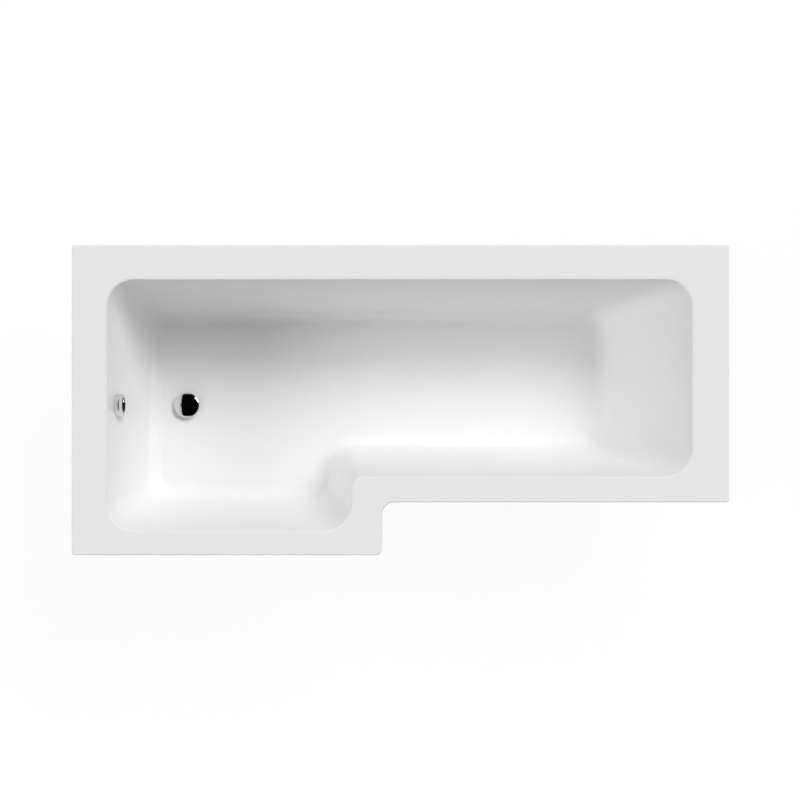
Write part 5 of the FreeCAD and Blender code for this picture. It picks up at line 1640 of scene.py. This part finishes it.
class BATH_OT_hose(bpy.types.Operator):
    """The ribbed hose from the overflow to the tee, with its nuts and seals"""

    bl_idname = "bath.hose"
    bl_label = "Hose"

    def execute(self, context):
        fit = context.scene.bath_fittings
        self.tube(fit)
        low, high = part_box("hose_nut_upper")
        nut = self.nut(fit, (high.x - low.x) / 2, high.z - low.z)
        for end, place in (("upper", seat_of), ("lower", self.on_edge)):
            node = "hose_nut_" + end
            dress(copied(nut, "grip_nut_" + end, place(node)), "bath", "grey_plastic", node)
        bpy.data.objects.remove(nut)
        bore, edge = fit.tube_bore / 2, fit.seal_edge
        soft_ring("hose_washer_upper", "hose_seal_upper", bore, edge, "bath")
        low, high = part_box("hose_seal_lower")
        ring = washer("hose_washer_lower", (high.z - low.z) / 2, bore, high.x - low.x, edge)
        moved(ring, self.on_edge("hose_seal_lower"))
        dress(ring, "bath", "seal_rubber", "hose_seal_lower")
        return {"FINISHED"}

    def on_edge(self, node):
        """The place of a turned piece that lies along X in a node's room."""
        low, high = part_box(node)
        spot = (low.x, (low.y + high.y) / 2, (low.z + high.z) / 2)
        return shifted(spot) @ Matrix.Rotation(math.pi / 2, 4, "Y")

    def nut(self, fit, radius, height):
        """A ring nut with grip hollows all round."""
        bore = fit.nut_bore / 2
        edge = fit.mould_edge
        outline = [(bore, 0, edge / 2), (radius, 0, edge), (radius, height, edge), (bore, height, edge / 2)]
        nut = lathe("grip_nut", outline, 96)
        far = radius + fit.nut_flute * 0.55
        return cut(nut, ring_of("nut_flutes", 20, fit.nut_flute, far, height * 0.16, height + PAST))

    def tube(self, fit):
        """A straight ribbed tube, laid along a drop, a quarter turn and a level run."""
        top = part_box("hose_seal_upper")[0]
        end_low, end_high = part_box("hose_seal_lower")
        start = middle_of("hose_seal_upper")
        level, radius = (end_low.z + end_high.z) / 2, fit.tube_bend
        drop, run = top.z - level - radius, end_low.x - start.x - radius
        whole = drop + radius * math.pi / 2 + run
        hose = lathe("ribbed_hose", self.ribs(fit, whole), 48)
        bpy.ops.curve.primitive_bezier_curve_add()
        path = bpy.context.object
        line = path.data.splines[0]
        line.bezier_points.add(2)
        path.data.resolution_u = 64
        down, along = Vector((0, 0, -1)), Vector((1, 0, 0))
        swing = 4 / 3 * math.tan(math.pi / 8) * radius
        route = (
            ((start.x, start.y, top.z), down, drop / 3, drop / 3),
            ((start.x, start.y, level + radius), down, drop / 3, swing),
            ((start.x + radius, start.y, level), along, swing, run / 3),
            ((end_low.x, start.y, level), along, run / 3, run / 3),
        )
        for point, (spot, way, before, after) in zip(line.bezier_points, route):
            point.handle_left_type = point.handle_right_type = "FREE"
            point.co = spot
            point.handle_left, point.handle_right = point.co - way * before, point.co + way * after
        path.matrix_world = Matrix.Identity(4)
        change(hose, "CURVE", object=path, deform_axis="POS_Z")
        bpy.data.objects.remove(path)
        dress(tidy(hose), "bath", "hose_plastic", "overflow_hose", crease=60)

    def ribs(self, fit, whole):
        """The hose's section: plain cuffs, and between them crests and roots."""
        crest, root, bore, cuff = fit.tube / 2, fit.tube_root / 2, fit.tube_bore / 2, fit.tube_cuff
        pitch = (whole - 2 * cuff) / fit.tube_ribs
        outline = [(crest, 0)]
        for i in range(fit.tube_ribs):
            start = cuff + pitch * i
            for part, radius in ((0, crest), (0.2, root), (0.5, root), (0.7, crest)):
                outline.append((radius, start + pitch * part, pitch * 0.1))
        outline.append((crest, whole))
        count = fit.tube_ribs
        return outline + [(bore, whole * (count - i) / count) for i in range(count + 1)]


# Stage

SEEN_RAYS = ("Is Camera Ray", "Is Glossy Ray", "Is Transmission Ray")
LAMP_DISTANCE = 5.0
# Degrees up and degrees round from +X
SOFT_LAMPS = {"left": (36, 180), "right": (48, 30), "back": (48, 60), "front": (24, 210)}
STRIP_LAMP = (59, 39)


def lamp_from(name, kind, elevation, azimuth, strength):
    """A lamp far off in a direction, in degrees up and degrees round from +X, that shines on the bath."""
    up, turn = math.radians(elevation), math.radians(azimuth)
    way = Vector((math.cos(up) * math.cos(turn), math.cos(up) * math.sin(turn), math.sin(up)))
    lamp = bpy.data.lights.new(name, kind)
    lamp.energy = strength
    holder = bpy.data.objects.new(name, lamp)
    bpy.context.scene.collection.objects.link(holder)
    holder.location = way * LAMP_DISTANCE
    holder.rotation_euler = way.to_track_quat("Z", "Y").to_euler()
    return holder


def seen_rays(finish):
    """1 for rays that look at the studio, straight or by gloss or through clear things, else 0."""
    camera, gloss, clear = [finish.node("ShaderNodeLightPath", output=kind) for kind in SEEN_RAYS]
    return camera | gloss | clear


class BATH_OT_stage(bpy.types.Operator):
    """A white floor, a dark ceiling, soft lamps and a camera straight above"""

    bl_idname = "bath.stage"
    bl_label = "Studio"

    def execute(self, context):
        scene = context.scene
        stage, colours = scene.bath_stage, scene.bath_finishes
        self.floor(stage, colours)
        self.ceiling(stage, colours)
        self.world(scene, stage)
        self.lamps(stage)
        self.camera(scene, stage)
        scene.view_settings.view_transform = "Standard"
        return {"FINISHED"}

    def floor(self, stage, colours):
        """White where it is looked at, less the bath's shadow; a plain pale floor for the light."""
        clear_selection()
        bpy.ops.mesh.primitive_plane_add(size=stage.floor_reach)
        floor = started("studio_floor")
        finish = new_finish("studio_floor")
        pale = finish.node("ShaderNodeBsdfDiffuse", {}, {"Color": opaque(colours.floor)})
        glow = finish.node("ShaderNodeEmission", {}, {"Strength": stage.floor_glow})
        rest = 1 - stage.floor_glow
        shadow = finish.node("ShaderNodeBsdfDiffuse", {}, {"Color": (rest, rest, rest, 1)})
        white = finish.node("ShaderNodeAddShader", {}, {0: glow, 1: shadow})
        front = finish.node("ShaderNodeMixShader", {}, {0: seen_rays(finish), 1: pale, 2: white})
        clear = finish.node("ShaderNodeBsdfTransparent")
        behind = finish.node("ShaderNodeNewGeometry", output="Backfacing")
        both = finish.node("ShaderNodeMixShader", {}, {0: behind, 1: front, 2: clear})
        white_floor = finish.close(both, "ShaderNodeOutputMaterial")
        # Its glow is only looked at, so it isn't sampled as a lamp
        white_floor.cycles.emission_sampling = "NONE"
        floor.data.materials.append(white_floor)
        floor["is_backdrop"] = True

    def ceiling(self, stage, colours):
        """A dark card that only gloss shows: what bright metal mirrors straight above."""
        clear_selection()
        bpy.ops.mesh.primitive_plane_add(size=stage.ceiling_reach, location=(0, 0, stage.ceiling_height))
        ceiling = started("studio_ceiling")
        ceiling.visible_camera = ceiling.visible_diffuse = ceiling.visible_shadow = False
        finish = new_finish("studio_ceiling")
        dark = finish.node("ShaderNodeBsdfDiffuse", {}, {"Color": opaque(colours.ceiling)})
        ceiling.data.materials.append(finish.close(dark, "ShaderNodeOutputMaterial"))
        ceiling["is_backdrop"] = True

    def world(self, scene, stage):
        """White to look at, dimmer as light."""
        scene.world = bpy.data.worlds.new("studio_air")
        finish = Finish(scene.world)
        dim = finish.node("ShaderNodeBackground", {}, {"Color": (1, 1, 1, 1), "Strength": stage.ambient})
        white = finish.node("ShaderNodeBackground", {}, {"Color": (1, 1, 1, 1), "Strength": 1.0})
        both = finish.node("ShaderNodeMixShader", {}, {0: seen_rays(finish), 1: dim, 2: white})
        finish.close(both, "ShaderNodeOutputWorld")

    def lamps(self, stage):
        """Four broad soft lamps, which gloss doesn't show, and a strip that only gloss shows."""
        for name, way in SOFT_LAMPS.items():
            holder = lamp_from(name + "_soft_lamp", "SUN", *way, getattr(stage, name))
            holder.data.angle = stage.softness
            holder.visible_glossy = False
        holder = lamp_from("strip_lamp", "AREA", *STRIP_LAMP, stage.strip)
        holder.visible_diffuse = False
        strip = holder.data
        strip.shape = "RECTANGLE"
        strip.size, strip.size_y = stage.strip_length, stage.strip_width

    def camera(self, scene, stage):
        """Straight down, nearly over the middle of the outline."""
        lens = bpy.data.cameras.new("straight_above")
        lens.lens = lens.sensor_width * stage.camera_above_rim / stage.view_width
        camera = bpy.data.objects.new("straight_above", lens)
        scene.collection.objects.link(camera)
        camera.location = (-stage.camera_left, 0, SHELL_HIGH.z + stage.camera_above_rim)
        scene.camera = camera


# The add-on


class BATH_PT_pieces(bpy.types.Panel):
    """The bath's pieces, in the order that they are made"""

    bl_idname = "BATH_PT_pieces"
    bl_label = "Shower bath"
    bl_space_type = "VIEW_3D"
    bl_region_type = "UI"
    bl_category = "Bath"

    def draw(self, context):
        for operator in OPERATORS:
            self.layout.operator(operator.bl_idname)
        for group in GROUPS:
            sizes = getattr(context.scene, group)
            box = self.layout.box()
            for name in sizes.__annotations__:
                box.prop(sizes, name)


GROUPS = {
    "bath_shell": ShellSizes,
    "bath_legs": LegSizes,
    "bath_fittings": FittingSizes,
    "bath_finishes": Finishes,
    "bath_stage": StageSizes,
}
OPERATORS = (
    BATH_OT_shell,
    BATH_OT_laminate,
    BATH_OT_wood,
    BATH_OT_leg_bars,
    BATH_OT_feet,
    BATH_OT_nuts,
    BATH_OT_screws,
    BATH_OT_wall_brackets,
    BATH_OT_waste,
    BATH_OT_click_works,
    BATH_OT_plug,
    BATH_OT_tee,
    BATH_OT_overflow,
    BATH_OT_hose,
    BATH_OT_stage,
)


def register():
    for group in GROUPS.values():
        bpy.utils.register_class(group)
    for operator in OPERATORS:
        bpy.utils.register_class(operator)
    bpy.utils.register_class(BATH_PT_pieces)
    for name, group in GROUPS.items():
        setattr(bpy.types.Scene, name, PointerProperty(type=group))


def unregister():
    for name in GROUPS:
        delattr(bpy.types.Scene, name)
    for made in (BATH_PT_pieces, *OPERATORS, *GROUPS.values()):
        bpy.utils.unregister_class(made)


def main():
    register()
    for operator in OPERATORS:
        family, name = operator.bl_idname.split(".")
        getattr(getattr(bpy.ops, family), name)()
    boxes = {"cad": CAD_BOX, "visual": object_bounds()}
    {name: [list(corner) for corner in box] for name, box in boxes.items()}


if __name__ == "__main__":
    main()
